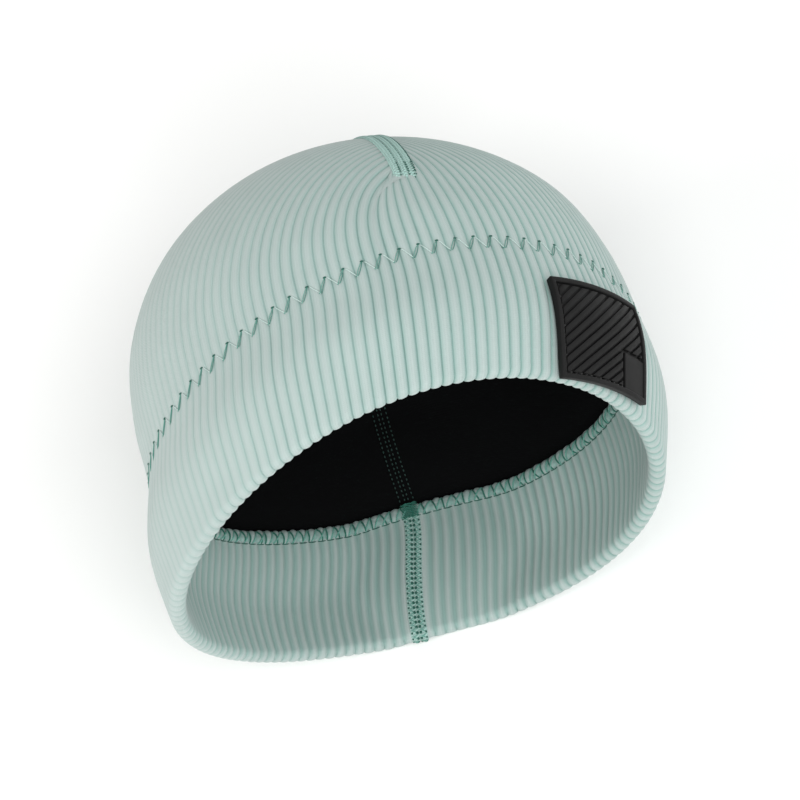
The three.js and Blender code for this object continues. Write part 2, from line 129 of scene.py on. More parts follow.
# How finely the cloth is divided, in rows unless it says otherwise
WHOLE_RIBS = np.array([0])  # one column for each rib, where the cloth is hidden
LINING_COLUMNS = np.array([0, 0.5])
ZIGZAG_ROWS = np.array([0, 0.5, 1, 1.5, 2, 2.6, 3.3, 4.2, 5.5])  # millimetres to each side of the zigzag
CROWN_ROWS = 44
INNER_ROWS = 16
LINING_ROWS = 26
FOLD_ROWS = 10
HEM_STEP = 3  # millimetres
HIDDEN_ROWS = 6
HIDDEN_FOLD_ROWS = 5

# The zigzag that holds the hem
ZIGZAG_UP = 44.8  # its middle, above the start of the fold
ZIGZAG_WAVE = 1.2  # how far it dips below that at the front and rises at the back
ZIGZAG_LOWEST = math.radians(-60)
ZIGZAG_DIP = 1.6  # how much lower it runs on the wearer's right
ZIGZAG_RISE = 5  # from valley to peak
PALE_SHARE = 0.58  # of a zigzag's pitch, for the leg that runs down to the valley
PUCKER_VALLEY = (0.55, 2.6)  # share of the pucker, and its reach, along the zigzag's middle
PUCKER_STITCH = (0.45, 0.9)  # the same along the thread itself
THREAD_SUNK = 0.3  # share of a groove's depth that the thread follows
HOLE_LENGTH = (-0.35, 0.65)  # from the peak to each end
HOLE_RADIUS = 0.35

# Legs of a zigzag stitch: where each starts and ends in its pitch, its steps, its radius in threads, how
# high it arches, its thread, and how far it bows aside in its pitch
ZIGZAG_LEGS = {
    # The taut legs are drawn in a painted highlight, a near-white copy of the thread colour
    "zigzag_taut_legs": (0.03, PALE_SHARE, 8, 0.5, 0.2, "taut", 0),
    # The loose legs are drawn in painted light, a lighter copy of the thread colour
    "zigzag_loose_legs": (PALE_SHARE - 0.12, 1, 11, 0.5, 0.15, "soft", -0.09),
    "zigzag_loose_strands": (PALE_SHARE - 0.02, 0.98, 9, 0.42, 0.2, "teal", 0.05),
}

# Threads and seams
THREAD_SIDES = 6
THREAD_ENDS = 0.6  # of a thread's radius, at the ends of a stitch
PRESSED_SINK = 0.9  # how far the floor presses the thread into the knit
LOCK_ROWS = (-1.45, 1.45)  # middles of the two bands of stitches, from the seam's middle
LOCK_GAUGE = 1.7  # from needle row to needle row in a band
LOCK_RISE = 0.4  # of its thread above the seam, at a stitch's ends
LOCK_ARCH = 0.3  # how much higher its middle is
LOCK_THREAD = 0.6  # of a thread's radius
RUNNING_ARCH = 0.35  # how much higher a running stitch's middle is than its ends
RUNNING_SINK = 0.12  # how deep its ends are sewn in
DOT_RISE = 0.42  # of the needle's dots above the seam
DOT_STRETCH = 1.7  # how much longer a dot is than its radius
CORD_SIDES = 8
CORD_BASE = 0.05  # how far the seams' tapes lie clear of the cloth
CROWN_SEAM_DEPTH = 0.3  # of its underside below the knit's crests
CROWN_SEAM_DIVE = 0.9  # how much deeper it ends
CROWN_SEAM_TAIL = 3  # steps over which it dives
CROWN_SEAM_STEP = 1.2
CROWN_SEAM_CORDS = 3
CROWN_SEAM_DOTS = (-1.3, 1.4, 3)  # how far aside the needle's dots lie at its front end
BACK_SEAM_TOP = 0.12  # the ring at which the back seam meets the crown seam
BACK_SEAM_STEP = 1.4
LINING_SEAM_TOP = 0.1  # the same for the lining's seam
LINING_SEAM_STEP = 1.5
LINING_SEAM_WIDTH = BACK_SEAM_WIDTH - 0.4
SEAM_LIFT = 0.15  # how far the lining's seam and the bartack lie clear of what is under them

# The crown seam's stitches, in rows at shares of half its width: how high they lie, their length, their
# pitch, their slant and their radius in threads, and their thread, where they aren't the seam's own knit
CROWN_STITCHES = {
    "strands": ((-2 / 3, 0, 2 / 3), 0.42, 1.3, 1.15, 2.2, 1.5, None),
    "stitches": ((-1 / 3, 1 / 3), 0.3, 0.9, 1.7, 0.6, 0.7, "bound"),
    # The shaded row just past one edge is painted shadow along the seam's edge, drawn as dark stitches
    "shaded_stitches": ((1.02,), 0.25, 0.9, 1.7, 0.6, 1, "shaded"),
}

# The roll that binds the hem's edge. Its lumps are a rib apart.
ROLL_LOW = -3.2  # down the hem's face from its edge
ROLL_HIGH = 1.2
ROLL_FRONT = HEM_FACE + 1.25
ROLL_BACK = HEM_BACK + 0.1
ROLL_MIDDLE = (ROLL_LOW + ROLL_HIGH) / 2
ROLL_CENTRE = (ROLL_FRONT + ROLL_BACK) / 2
ROLL_SIDES = 14
LUMP_STEPS = 8
LUMP_SLANT = 0.14  # of a rib, from the roll's lower edge to its top
LUMP_WAIST = 0.42  # how much thinner the roll is where the thread draws it in
LUMP_UNEVEN = 0.1  # how much the lumps differ in size
ROLL_WAVE = 0.06  # how much the roll swells and thins as it goes round
NEEDLE_LINE = np.linspace(0.08, 0.92, 6)  # the line of stitches below the roll, in ribs
BARTACK_ROWS = 9
BARTACK_WIDTH = BACK_SEAM_WIDTH + 0.4
STRAND_LEAN = 0.5  # of a rib, for the threads that spread from each waist
STRAND_TURNS = np.linspace(-0.46 * math.pi, 0.62 * math.pi, 9)  # round the roll, from its foot to its top

# The patch
PATCH_WIDTH = 42
PATCH_HEIGHT = 31.5
PATCH_GAP = 0.8
PATCH_BASE = 1
PATCH_FRAME = 1.7
PATCH_RIGHT, PATCH_TOP = PATCH_WIDTH / 2, PATCH_HEIGHT / 2
INNER_RIGHT, INNER_TOP = PATCH_RIGHT - PATCH_FRAME, PATCH_TOP - PATCH_FRAME
FRAME_RISE = 1.3
BAR_RISE = 0.9
BAR_WIDTH = 1.75
BAR_PITCH = 2.45
BAR_SLANT = math.radians(35)
BAR_MARGIN = 0.55  # from the frame to the bars' ends
BAR_SINK = 0.2  # how deep the bars and the pad stand in the plate
PAD_SIZE = 11
PAD_MARGIN = 1
PATCH_RIB = math.radians(-35.4) - RIB_TURN
PATCH_UP = 14.3
PATCH_TURN = math.radians(4)
BEND_STEP = 2.5  # from cut to cut, where a flat piece is bent onto the wall
CUT_REACH = 9  # how far a cutting box reaches past what it cuts
PATCH_STITCH = 2.2  # from one stitch of the patch to the next

# Patterns of the materials. Lengths are millimetres, and counts are for each metre of the object, or for
# each millimetre where the pattern lies on the cloth's own map.
WALE = 0.96  # a quarter of a rib
COURSE = 0.55  # drawn a little coarser than the real yarn so that it shows
KNIT_FUZZ = 3.2  # fibres a millimetre
KNIT_CLOUDS = 60.0  # patches of tone a metre
JERSEY_STITCH = 0.9  # drawn coarser than the real one so that it shows
JERSEY_NAP = 900.0  # tufts a metre
THREAD_TWIST = 0.9  # turns of the plies in a millimetre of thread
PLY = 0.5  # of a turn round the thread, which has two plies
PLY_LIGHT = {  # how much lighter each thread's stripe is than its colour
    "teal": 1.25, "shaded": 1.2, "bound": 1.25, "soft": 1.15, "taut": 1.1, "black_teal": 1.2, "black": 1.3}
ROPE_PITCH = 0.9  # of the slanting yarns in the seams' tape
ROPE_SLANT = 0.6
TAPE_FUZZ = 2.5  # fibres a millimetre
MOULD_GRAIN = 2500.0  # grains a metre
MOULD_WEAR = 130.0  # patches a metre
PAINT_CLOUDS = 1.5  # patches a metre

# The camera, in degrees and millimetres in the worn hat's frame. It looks up into the hat a little.
CAMERA_YAW = -1.517
CAMERA_PITCH = -27.028
CAMERA_ROLL = -19.798
CAMERA_AIM = np.array([0, 0, 60])
CAMERA_AWAY = 1298.15
PIXELS_A_MM = 3.133  # at the aim
PHOTO_SIZE = 800  # pixels
AIM_PIXEL = (373.9, 379.7)  # where the aim lies in the photograph
SENSOR = 36  # millimetres wide

# The lights' places and sizes in metres, and their colours, by the setting that gives their power
LIGHTS = {
    "key": ((-1.45, -0.3, 0.95), 0.8, (1, 0.99, 0.97)),
    "fill": ((1.4, -0.3, 1.0), 1.2, (0.97, 0.99, 1)),
    "front": ((0.05, -0.9, 1.35), 1.0, (1, 1, 1)),
}
LIGHT_AIM = (0, 0, 0.08)  # metres
FLOOR_SIZE = 6  # metres


def level(column, share):
    """One column of the levels as a smooth curve, which past the crown runs on as its own mirror image."""
    rows = LEVELS[:, column]
    last = len(rows) - 1
    mirrored = -rows[last - 1] if column == HALF else rows[last - 1]
    padded = np.concatenate([[2 * rows[0] - rows[1]], rows, [mirrored]])
    place = np.asarray(share, float) * last
    start = np.clip(np.floor(place), 0, last - 1).astype(int)
    t = place - start
    a, b, c, d = (padded[start + i] for i in range(4))
    bend = (2 * a - 5 * b + 4 * c - d) * t**2 + (3 * b - a - 3 * c + d) * t**3
    return (2 * b + (c - a) * t + bend) / 2


def pressed_share(behind, ease=PRESS_EASE):
    """How far the wall is pressed flat, 0 to 1, at a distance behind the middle."""
    return np.clip((behind - BACK_FLAT) / (2 * ease) + 0.5, 0, 1)


def press(behind, ease=PRESS_EASE):
    """The distance behind the middle, once the back is pressed flat."""
    share = pressed_share(behind, ease)
    return np.where(share >= 1, BACK_FLAT, behind - ease * share**2)


def channel_depth(behind):
    """The channel is as deep as it takes to keep the back seam's band above the flat."""
    return np.maximum(0, press(behind) + SEAM_SINK - BACK_FLAT)


def unpressed(p, q):
    """How far behind the middle the wall would lie if nothing pressed it."""
    share = 1 - np.hypot(p, q) * (1 - GATHER_FROM)
    return HALF_DEPTH * (level(HALF, share) * np.sin(np.arctan2(q, p)) + level(BEHIND, share))


def skin(p, q, ease=PRESS_EASE):
    """A point of the knit's crests over a flat chart of the hat, whose middle is the crown."""
    share = 1 - np.hypot(p, q) * (1 - GATHER_FROM)
    angle = np.arctan2(q, p)
    twist = RIM_DIP * np.cos(2 * angle) + RIM_TWIST * np.sin(2 * angle)
    sway = (twist + RIM_LEAN * np.sin(angle)) * (1 - share) ** 2
    x = HALF_WIDTH * (level(HALF, share) * np.cos(angle) + level(ASIDE, share))
    return np.stack([x, press(unpressed(p, q), ease), HEIGHT * level(UP, share) + sway], axis=-1)


def unit(vectors):
    return vectors / np.linalg.norm(vectors, axis=-1, keepdims=True)


def outward(p, q):
    """The way out of the wall at a place on the chart."""
    step = 1e-3
    along_p = skin(p + step, q, TURN_EASE) - skin(p - step, q, TURN_EASE)
    along_q = skin(p, q + step, TURN_EASE) - skin(p, q - step, TURN_EASE)
    return unit(np.cross(along_p, along_q))


def spot(rib, ring):
    """Where a rib lies on the chart. Ring 0 is the crown seam, and at ring 1 the ribs start to draw in."""
    rib, ring = np.broadcast_arrays(np.asarray(rib, float), np.asarray(ring, float))
    turned = np.arcsin(np.clip(np.sin(rib), -1, 1)) / (math.pi / 2)
    along = np.sign(turned) * (1 - (1 - np.abs(turned)) ** GATHER_SPREAD)
    inside = np.minimum(ring, 1)
    climb = np.clip((RIM_RING - ring) / (RIM_RING - 1), 0, 1)
    drift = RIB_DRIFT * (1 + np.sin(rib)) / 2 * climb**2 * (3 - 2 * climb)
    angle = rib + RIB_TURN - drift
    reach = np.where(ring < 1, ring**2 + 2 * ring * (1 - inside) * GATHER_BEND, ring)
    pull = (1 - inside) ** 2
    seam = SEAM_MIDDLE + (SEAM_BACK - SEAM_MIDDLE) * along[..., None]
    p = reach * np.cos(angle) + pull * seam[..., 0]
    q = reach * np.sin(angle) + pull * seam[..., 1]
    return p, q


def in_wall(rib, ring, depth):
    """A point on a rib, at a ring and a depth below the knit's crests."""
    p, q = spot(rib, ring)
    return skin(p, q) - outward(p, q) * np.asarray(depth, float)[..., None]


# The table that ring_up reads
CLIMB_STRIDE = 0.02
CLIMB_BELOW = 4  # strides below the start of the fold
CLIMB_COLUMNS = 560
MARK_STEP = 0.5
CLIMB_MARKS = np.arange(-4, 90, MARK_STEP)


def climb_table(marks):
    """The ring at each mark up the wall from the start of the fold, for columns all round the hat."""
    rings = RIM_RING - CLIMB_STRIDE * np.arange(-CLIMB_BELOW, int(RIM_RING / CLIMB_STRIDE) + 1)
    ribs = np.arange(CLIMB_COLUMNS) / CLIMB_COLUMNS * TURN
    steps = np.linalg.norm(np.diff(in_wall(ribs[None, :], rings[:, None], 0), axis=0), axis=-1)
    ups = np.vstack([np.zeros(CLIMB_COLUMNS), np.cumsum(steps, axis=0)])
    ups -= ups[CLIMB_BELOW]
    return np.array([np.interp(marks, column, rings) for column in ups.T])


CLIMB_TABLE = climb_table(CLIMB_MARKS)


def ring_up(rib, distance):
    """The ring that lies a distance up the wall from the start of the fold."""
    rib, distance = np.broadcast_arrays(np.asarray(rib, float), np.asarray(distance, float))
    column = np.mod(rib / TURN, 1) * CLIMB_COLUMNS
    mark = np.clip((distance - CLIMB_MARKS[0]) / MARK_STEP, 0, len(CLIMB_MARKS) - 1.001)
    first = np.floor(column).astype(int) % CLIMB_COLUMNS
    low = np.floor(mark).astype(int)
    aside = column - np.floor(column)
    above = mark - low
    rings = 0
    for i, share in ((0, 1 - aside), (1, aside)):
        row = (first + i) % CLIMB_COLUMNS
        rings = rings + share * (CLIMB_TABLE[row, low] * (1 - above) + CLIMB_TABLE[row, low + 1] * above)
    return rings


def round_fold(rib, turn, radius):
    """A point round the fold: turn 0 is the outside of the wall and turn pi is the hem's face inside."""
    rib, turn, radius = np.broadcast_arrays(rib, turn, radius)
    start = in_wall(rib, RIM_RING, 0)
    out = outward(*spot(rib, RIM_RING))
    down = in_wall(rib, RIM_RING + 0.01, 0) - start
    down = unit(down - out * np.sum(down * out, axis=-1, keepdims=True))
    way = out * np.cos(turn)[..., None] + down * np.sin(turn)[..., None]
    return start - out * FOLD_RADIUS + way * radius[..., None]


def part_shift():
    """How far the worn hat's frame is moved to the part's frame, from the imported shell's box."""
    rings = np.linspace(0, RIM_RING, 90)[:, None]
    crests = in_wall(np.linspace(0, TURN, 720)[None, :], rings, 0)
    low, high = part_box("ribbed_shell")
    middle = (crests[..., 0].min() + crests[..., 0].max()) / 2
    return (low.x + high.x) / 2 / MM - middle, high.y / MM - crests[..., 2].max()


SHIFT_X, SHIFT_Y = part_shift()


def laid(points):
    """Worn millimetres to the part's metres, with the hat laid on its back."""
    points = np.asarray(points, float)
    x, y, z = points[..., 0], points[..., 1], points[..., 2]
    return np.stack([x + SHIFT_X, z + SHIFT_Y, BACK_FLAT - y], axis=-1) * MM


def laid_way(way):
    """A worn direction in the part's frame."""
    x, y, z = way
    return Vector((x, z, -y))


def linear(hex_colour):
    """An sRGB hex colour as linear red, green, blue and alpha."""
    parts = [int(hex_colour[i:i + 2], 16) / 255 for i in (1, 3, 5)]
    return tuple(c / 12.92 if c <= 0.04045 else ((c + 0.055) / 1.055) ** 2.4 for c in parts) + (1.0,)


def colour_property(name, description, hex_colour):
    return FloatVectorProperty(
        name=name, description=description, subtype="COLOR", size=4, min=0, max=1,
        default=linear(hex_colour))


def length_property(name, description, millimetres):
    return FloatProperty(
        name=name, description=description, default=millimetres * MM, min=0, unit="LENGTH", precision=5)


def power_property(name, description, watts):
    return FloatProperty(name=name, description=description, default=watts, min=0, unit="POWER")


class KnitSettings(bpy.types.PropertyGroup):
    """Sizes and colours of the knit and the lining"""

    groove: length_property("Groove", "Depth of the grooves between the ribs", 0.52)
    pucker: length_property("Pucker", "How deep the zigzag draws the knit in", 0.42)
    crest: colour_property("Crest", "Colour of the ribs", "#adbbb8")
    # Painted shade: the darker, greener colour at the bottom of the grooves, on the outside and on the
    # hem's face, where shade falls in them
    shade: colour_property("Groove colour", "Colour at the bottom of the hem's grooves", "#86a8a1")
    tape: colour_property("Seam tape", "Colour of the knit in the seams' tapes", "#a3c6be")
    lining: colour_property("Lining", "Colour of the jersey lining", "#08090a")


class StitchSettings(bpy.types.PropertyGroup):
    """Sizes and colours of the threads"""

    radius: length_property("Thread", "Radius of the sewing thread", 0.27)
    zigzags: IntProperty(
        name="Zigzags", description="Stitches in the line that holds the hem", default=86, min=3)
    lockstep: length_property("Seam stitch", "Distance from one seam stitch to the next", 1.75)
    teal: colour_property("Thread colour", "Colour of the thread", "#3a8476")
    shaded: colour_property("Shaded thread", "Colour of the tight and sunk stitches", "#14594b")
    # Painted light: a lighter copy of the thread colour, on the zigzag's loose legs, the back seam's
    # stitches and one set of strands round the hem's edge
    soft: colour_property("Loose thread", "Colour of the thread where it lies loose on the knit", "#6aa698")
    # Painted shade: a darker copy of the thread colour, for the strands round the hem's edge, the crown
    # seam's middle stitches and the bartack
    bound: colour_property("Binding thread", "Colour of the thread round the hem's edge", "#24705f")
    # Painted highlight: a near-white copy of the thread colour, for the zigzag's taut legs where they catch
    # the light
    taut: colour_property("Taut thread", "Colour of the thread where it is stretched thin", "#cfe4df")
    black_teal: colour_property("Lining thread", "Colour of the thread on the lining", "#1f4a42")
    black: colour_property("Patch thread", "Colour of the thread that holds the patch", "#151515")


class PatchSettings(bpy.types.PropertyGroup):
    """Sizes and colours of the patch"""

    bevel: length_property("Edge", "Rounding of the patch's edges", 0.35)
    rubber: colour_property("Rubber", "Colour of the moulded rubber", "#0c0c0c")


class StageSettings(bpy.types.PropertyGroup):
    """The floor and the light"""

    floor: colour_property("Floor", "Colour of the floor", "#fbfbfa")
    key: power_property("Key", "Power of the main light", 11.5)
    fill: power_property("Fill", "Power of the fill light", 8.5)
    front: power_property("Front", "Power of the light at the opening", 14.5)
    sky: FloatProperty(name="Sky", description="Strength of the light from all round", default=0.5, min=0)


def add_node(tree, kind, inputs=None, **settings):
    """Adds a node. Its inputs are values or other nodes' sockets, by the input's name or number."""
    made = tree.nodes.new("ShaderNode" + kind)
    for name, value in settings.items():
        setattr(made, name, value)
    for name, value in (inputs or {}).items():
        if isinstance(value, bpy.types.NodeSocket):
            tree.links.new(value, made.inputs[name])
        else:
            made.inputs[name].default_value = value
    return made


def material(maker, *kinds):
    """A material that several pieces share. Its maker adds the nodes and gives the shader's inputs."""
    name = "_".join((maker.__name__, *kinds))
    made = bpy.data.materials.get(name)
    if made is None:
        made = bpy.data.materials.new(name)
        made.use_nodes = True
        tree = made.node_tree
        tree.nodes.clear()
        shader = add_node(tree, "BsdfPrincipled", maker(tree, *kinds))
        add_node(tree, "OutputMaterial", {"Surface": shader.outputs[0]})
    return made


def ripple(tree, value, period):
    """A sine of a distance, from -1 to 1, that repeats after a period."""
    scaled = add_node(tree, "Math", {0: value, 1: TURN / period}, operation="MULTIPLY")
    return add_node(tree, "Math", {0: scaled.outputs[0]}, operation="SINE").outputs[0]


def toned(tree, colour, value, darkest, lightest, low=0.0, high=1.0):
    """A colour made darker or lighter as a value runs from low to high."""
    tone = add_node(tree, "MapRange", {
        "Value": value, "From Min": low, "From Max": high, "To Min": darkest, "To Max": lightest})
    scaled = add_node(tree, "VectorMath", {0: colour, "Scale": tone.outputs[0]}, operation="SCALE")
    return scaled.outputs["Vector"]


# Rib knit of polyester over foam: matt, with a soft sheen, fine wales along the ribs, and painted shade in
# its grooves.
def rib_knit_polyester_matt(tree):
    knit = bpy.context.scene.hat_knit
    maps = add_node(tree, "TexCoord").outputs
    across, along, _ = add_node(tree, "SeparateXYZ", {0: maps["UV"]}).outputs
    # The groove attribute is the share of painted shade: the colour runs from the crest colour to the
    # groove shade towards each groove's bottom
    groove = add_node(tree, "Attribute", attribute_name="groove").outputs["Fac"]
    painted_shade_share = add_node(tree, "Math", {0: groove, 1: 0.8}, operation="POWER", use_clamp=True).outputs[0]
    colour = add_node(tree, "Mix", {"Factor": painted_shade_share, "A": knit.crest, "B": knit.shade}, data_type="RGBA")
    cloud = add_node(tree, "TexNoise", {"Vector": maps["Object"], "Scale": KNIT_CLOUDS, "Detail": 3.0})
    fuzz = add_node(tree, "TexNoise", {"Vector": maps["UV"], "Scale": KNIT_FUZZ, "Detail": 2.0})
    fuzz = add_node(tree, "Math", {0: fuzz.outputs["Fac"], 1: 1.6}, operation="MULTIPLY").outputs[0]
    grain = add_node(
        tree, "Math", {0: ripple(tree, across, WALE), 1: ripple(tree, along, COURSE)}, operation="ADD")
    height = add_node(
        tree, "Math", {0: grain.outputs[0], 1: 0.35, 2: fuzz}, operation="MULTIPLY_ADD").outputs[0]
    clouded = toned(tree, colour.outputs["Result"], cloud.outputs["Fac"], 0.95, 1.05)
    bump = add_node(tree, "Bump", {"Strength": 0.6, "Distance": 0.1 * MM, "Height": height})
    return {
        "Base Color": toned(tree, clouded, height, 0.93, 1.05, -0.2, 1.8), "Normal": bump.outputs[0],
        "Roughness": 0.85, "Specular IOR Level": 0.3, "Sheen Weight": 0.25, "Sheen Roughness": 0.5}


# The seam allowance's knit, drawn tight: a little greener than the ribs, with slanting yarns.
def seam_tape_knit_matt(tree):
    uv = add_node(tree, "TexCoord").outputs["UV"]
    across, along, _ = add_node(tree, "SeparateXYZ", {0: uv}).outputs
    ropes = add_node(tree, "Math", {0: across, 1: ROPE_SLANT, 2: along}, operation="MULTIPLY_ADD")
    plies = ripple(tree, ropes.outputs[0], ROPE_PITCH)
    fuzz = add_node(tree, "TexNoise", {"Vector": uv, "Scale": TAPE_FUZZ, "Detail": 3.0}).outputs["Fac"]
    height = add_node(tree, "Math", {0: plies, 1: 0.3, 2: fuzz}, operation="MULTIPLY_ADD").outputs[0]
    bump = add_node(tree, "Bump", {"Strength": 0.8, "Distance": 0.3 * MM, "Height": height})
    colour = bpy.context.scene.hat_knit.tape[:3]
    return {
        "Base Color": toned(tree, colour, height, 0.68, 1.12, 0.1, 0.9), "Normal": bump.outputs[0],
        "Roughness": 0.85, "Sheen Weight": 0.2}


# Brushed polyester jersey: almost black, with a faint nap that catches the light at its edges.
def jersey_brushed_black(tree):
    maps = add_node(tree, "TexCoord").outputs
    across, along, _ = add_node(tree, "SeparateXYZ", {0: maps["UV"]}).outputs
    wales, courses = ripple(tree, across, JERSEY_STITCH), ripple(tree, along, JERSEY_STITCH)
    grain = add_node(tree, "Math", {0: wales, 1: courses}, operation="MULTIPLY").outputs[0]
    nap = add_node(tree, "TexNoise", {"Vector": maps["Object"], "Scale": JERSEY_NAP, "Detail": 2.0})
    nap = nap.outputs["Fac"]
    height = add_node(tree, "Math", {0: grain, 1: nap}, operation="ADD").outputs[0]
    bump = add_node(tree, "Bump", {"Strength": 0.3, "Distance": 0.1 * MM, "Height": height})
    return {
        "Base Color": toned(tree, bpy.context.scene.hat_knit.lining[:3], nap, 0.7, 1.3),
        "Normal": bump.outputs[0], "Roughness": 0.95, "Specular IOR Level": 0.15}


# Spun polyester sewing thread: two plies twisted together, so that a slanting stripe runs along it.
def thread_polyester(tree, kind):
    uv = add_node(tree, "TexCoord").outputs["UV"]
    around, along, _ = add_node(tree, "SeparateXYZ", {0: uv}).outputs
    twist = add_node(tree, "Math", {0: along, 1: THREAD_TWIST, 2: around}, operation="MULTIPLY_ADD")
    plies = ripple(tree, twist.outputs[0], PLY)
    bump = add_node(tree, "Bump", {"Strength": 0.5, "Distance": 0.08 * MM, "Height": plies})
    colour = getattr(bpy.context.scene.hat_stitch, kind)[:3]
    return {
        "Base Color": toned(tree, colour, plies, 0.72, PLY_LIGHT[kind], -1.0, 1.0),
        "Normal": bump.outputs[0], "Roughness": 0.6, "Sheen Weight": 0.15}


# Moulded silicone rubber: charcoal, satin, with the fine grain of the mould.
def silicone_rubber_moulded_satin(tree):
    place = add_node(tree, "TexCoord").outputs["Object"]
    grain = add_node(tree, "TexNoise", {"Vector": place, "Scale": MOULD_GRAIN, "Detail": 2.0})
    wear = add_node(tree, "TexNoise", {"Vector": place, "Scale": MOULD_WEAR, "Detail": 3.0}).outputs["Fac"]
    rough = add_node(tree, "MapRange", {"Value": wear, "To Min": 0.5, "To Max": 0.7})
    bump = add_node(
        tree, "Bump", {"Strength": 0.25, "Distance": 0.05 * MM, "Height": grain.outputs["Fac"]})
    return {
        "Base Color": toned(tree, bpy.context.scene.hat_patch.rubber[:3], wear, 0.82, 1.2),
        "Normal": bump.outputs[0], "Roughness": rough.outputs[0], "Specular IOR Level": 0.22}


# Painted board: pale and matt, with the faintest clouds.
def floor_board_matt(tree):
    place = add_node(tree, "TexCoord").outputs["Object"]
    cloud = add_node(tree, "TexNoise", {"Vector": place, "Scale": PAINT_CLOUDS, "Detail": 2.0})
    colour = bpy.context.scene.hat_stage.floor[:3]
    return {"Base Color": toned(tree, colour, cloud.outputs["Fac"], 0.99, 1.01), "Roughness": 0.9}


def finish_piece(piece, slot, *nodes):
    """Hides the imported solids that the piece stands for, and hangs it on the root body. The slot is not
    used.
    """
    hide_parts(*nodes)
    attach(piece, "root")


def add_surface(mesh, surface, sharp):
    """Gives a mesh its material and smooth faces, with the edges sharp that turn more than some degrees."""
    mesh.polygons.foreach_set("use_smooth", np.ones(len(mesh.polygons), bool))
    mesh.set_sharp_from_angle(angle=math.radians(sharp))
    mesh.materials.append(surface)


def new_piece(name, points, faces, surface, uvs, groove=None, sharp=60):
    """A closed mesh from worn millimetres, its faces turned out. uvs has a pair for each face corner."""
    mesh = bpy.data.meshes.new(name)
    mesh.from_pydata(laid(points).tolist(), [], faces)
    mesh.uv_layers.new(name="UVMap").data.foreach_set("uv", np.asarray(uvs, np.float32).ravel())
    # The groove attribute holds the share of painted groove shade at each point
    if groove is not None:
        attribute = mesh.attributes.new("groove", "FLOAT", "POINT")
        attribute.data.foreach_set("value", np.asarray(groove, np.float32))
    made = bmesh.new()
    made.from_mesh(mesh)
    bmesh.ops.recalc_face_normals(made, faces=made.faces)
    made.to_mesh(mesh)
    made.free()
    add_surface(mesh, surface, sharp)
    piece = bpy.data.objects.new(name, mesh)
    bpy.context.scene.collection.objects.link(piece)
    return piece


class Cloth:
    """Rows of points once round the hat, joined into a closed mesh"""

    def __init__(self):
        self.points = []
        self.groove = []
        self.marks = []
        self.faces = []
        self.uvs = []
        self.count = 0
        self.last = np.zeros((0, 3))
        self.along = 0

    def row(self, points, place, groove=0, sewn=False, along=None):
        """Adds a row at places in ribs. Along its map it lies as far on as it does on the hat, unless it is
        told. Where it is sewn, each point on one side of the crown seam is the point across it."""
        columns = len(points)
        if along is not None:
            self.along = np.full(columns, along)
        elif len(self.last) == columns:
            self.along = self.along + np.linalg.norm(points - self.last, axis=-1)
        else:
            self.along = np.zeros(columns)
        self.last = points
        numbers = np.arange(columns)
        if sewn:
            numbers = np.minimum(numbers, columns - numbers)
            points = points[:columns // 2 + 1]
        self.points.append(points)
        self.groove.append(np.broadcast_to(groove, columns)[:len(points)])
        across = place * RIB_PITCH
        self.marks.append({
            "numbers": numbers + self.count,
            "across": np.append(across, across[0] + RIBS * RIB_PITCH),
            "along": np.append(self.along, self.along[0]),
        })
        self.count += len(points)

    def join(self, upper, lower):
        """Adds the faces between two rows, of which the lower may have fewer columns."""
        columns = len(lower["numbers"])
        ratio = len(upper["numbers"]) // columns
        numbers = np.append(upper["numbers"], upper["numbers"][0])
        ends = np.append(lower["numbers"], lower["numbers"][0])
        for i in range(columns):
            span = range(i * ratio, (i + 1) * ratio + 1)
            corners = [int(numbers[k]) for k in span] + [int(ends[i + 1]), int(ends[i])]
            places = [(upper["across"][k], upper["along"][k]) for k in span]
            places += [(lower["across"][k], lower["along"][k]) for k in (i + 1, i)]
            self.faces.append(corners)
            self.uvs.extend(places)

    def finish(self, name, surface, slot, node, closed=False):
        """Joins the rows into a piece, and where it is closed the last row to the first."""
        for upper, lower in zip(self.marks, self.marks[1:]):
            if len(upper["numbers"]) >= len(lower["numbers"]):
                self.join(upper, lower)
        if closed:
            self.join(self.marks[0], self.marks[-1])
        points, groove = np.concatenate(self.points), np.concatenate(self.groove)
        finish_piece(new_piece(name, points, self.faces, surface, self.uvs, groove), slot, node)


def column_places(steps):
    """Where columns lie round the hat, in ribs from the front centre."""
    return (np.arange(RIBS)[:, None] + steps).ravel()


def rib_angle(place):
    """The angle round the hat at a place in ribs, from the wearer's left ear."""
    return place / RIBS * TURN - math.pi / 2


def from_back_seam(place):
    """How many ribs a place lies from the back seam, either way."""
    return np.abs(place - RIBS / 2)


def has_grooves(place):
    """All round but where the back seam's tape lies."""
    return from_back_seam(place) > TAPE_RIBS


def stretch(rib):
    """How deep the grooves are in the stretched knit, as a share."""
    return 1 - STRETCHED * np.clip(-np.cos(rib), 0, 1)


def relief(place):
    """How far the knit lies below its crests, from 0 to 1, at a place in ribs."""
    from_groove = np.abs(np.mod(place, 1) - 0.5)
    bottom = np.clip(1 - from_groove / GROOVE_HALF, 0, 1) ** 1.5
    uneven = 1 + sum(share * np.sin(place * pace + start) for share, pace, start in RIB_WAVES)
    return bottom * uneven + CREST_DOME * np.clip((0.5 - from_groove) / 0.3, 0, 1) ** 2


def hem_relief(place):
    """The same for the hem's face, which is the knit's inside, with deeper grooves as wide as its ribs."""
    return HEM_GROOVE * (1 - np.cos(TURN * place)) / 2 * has_grooves(place)


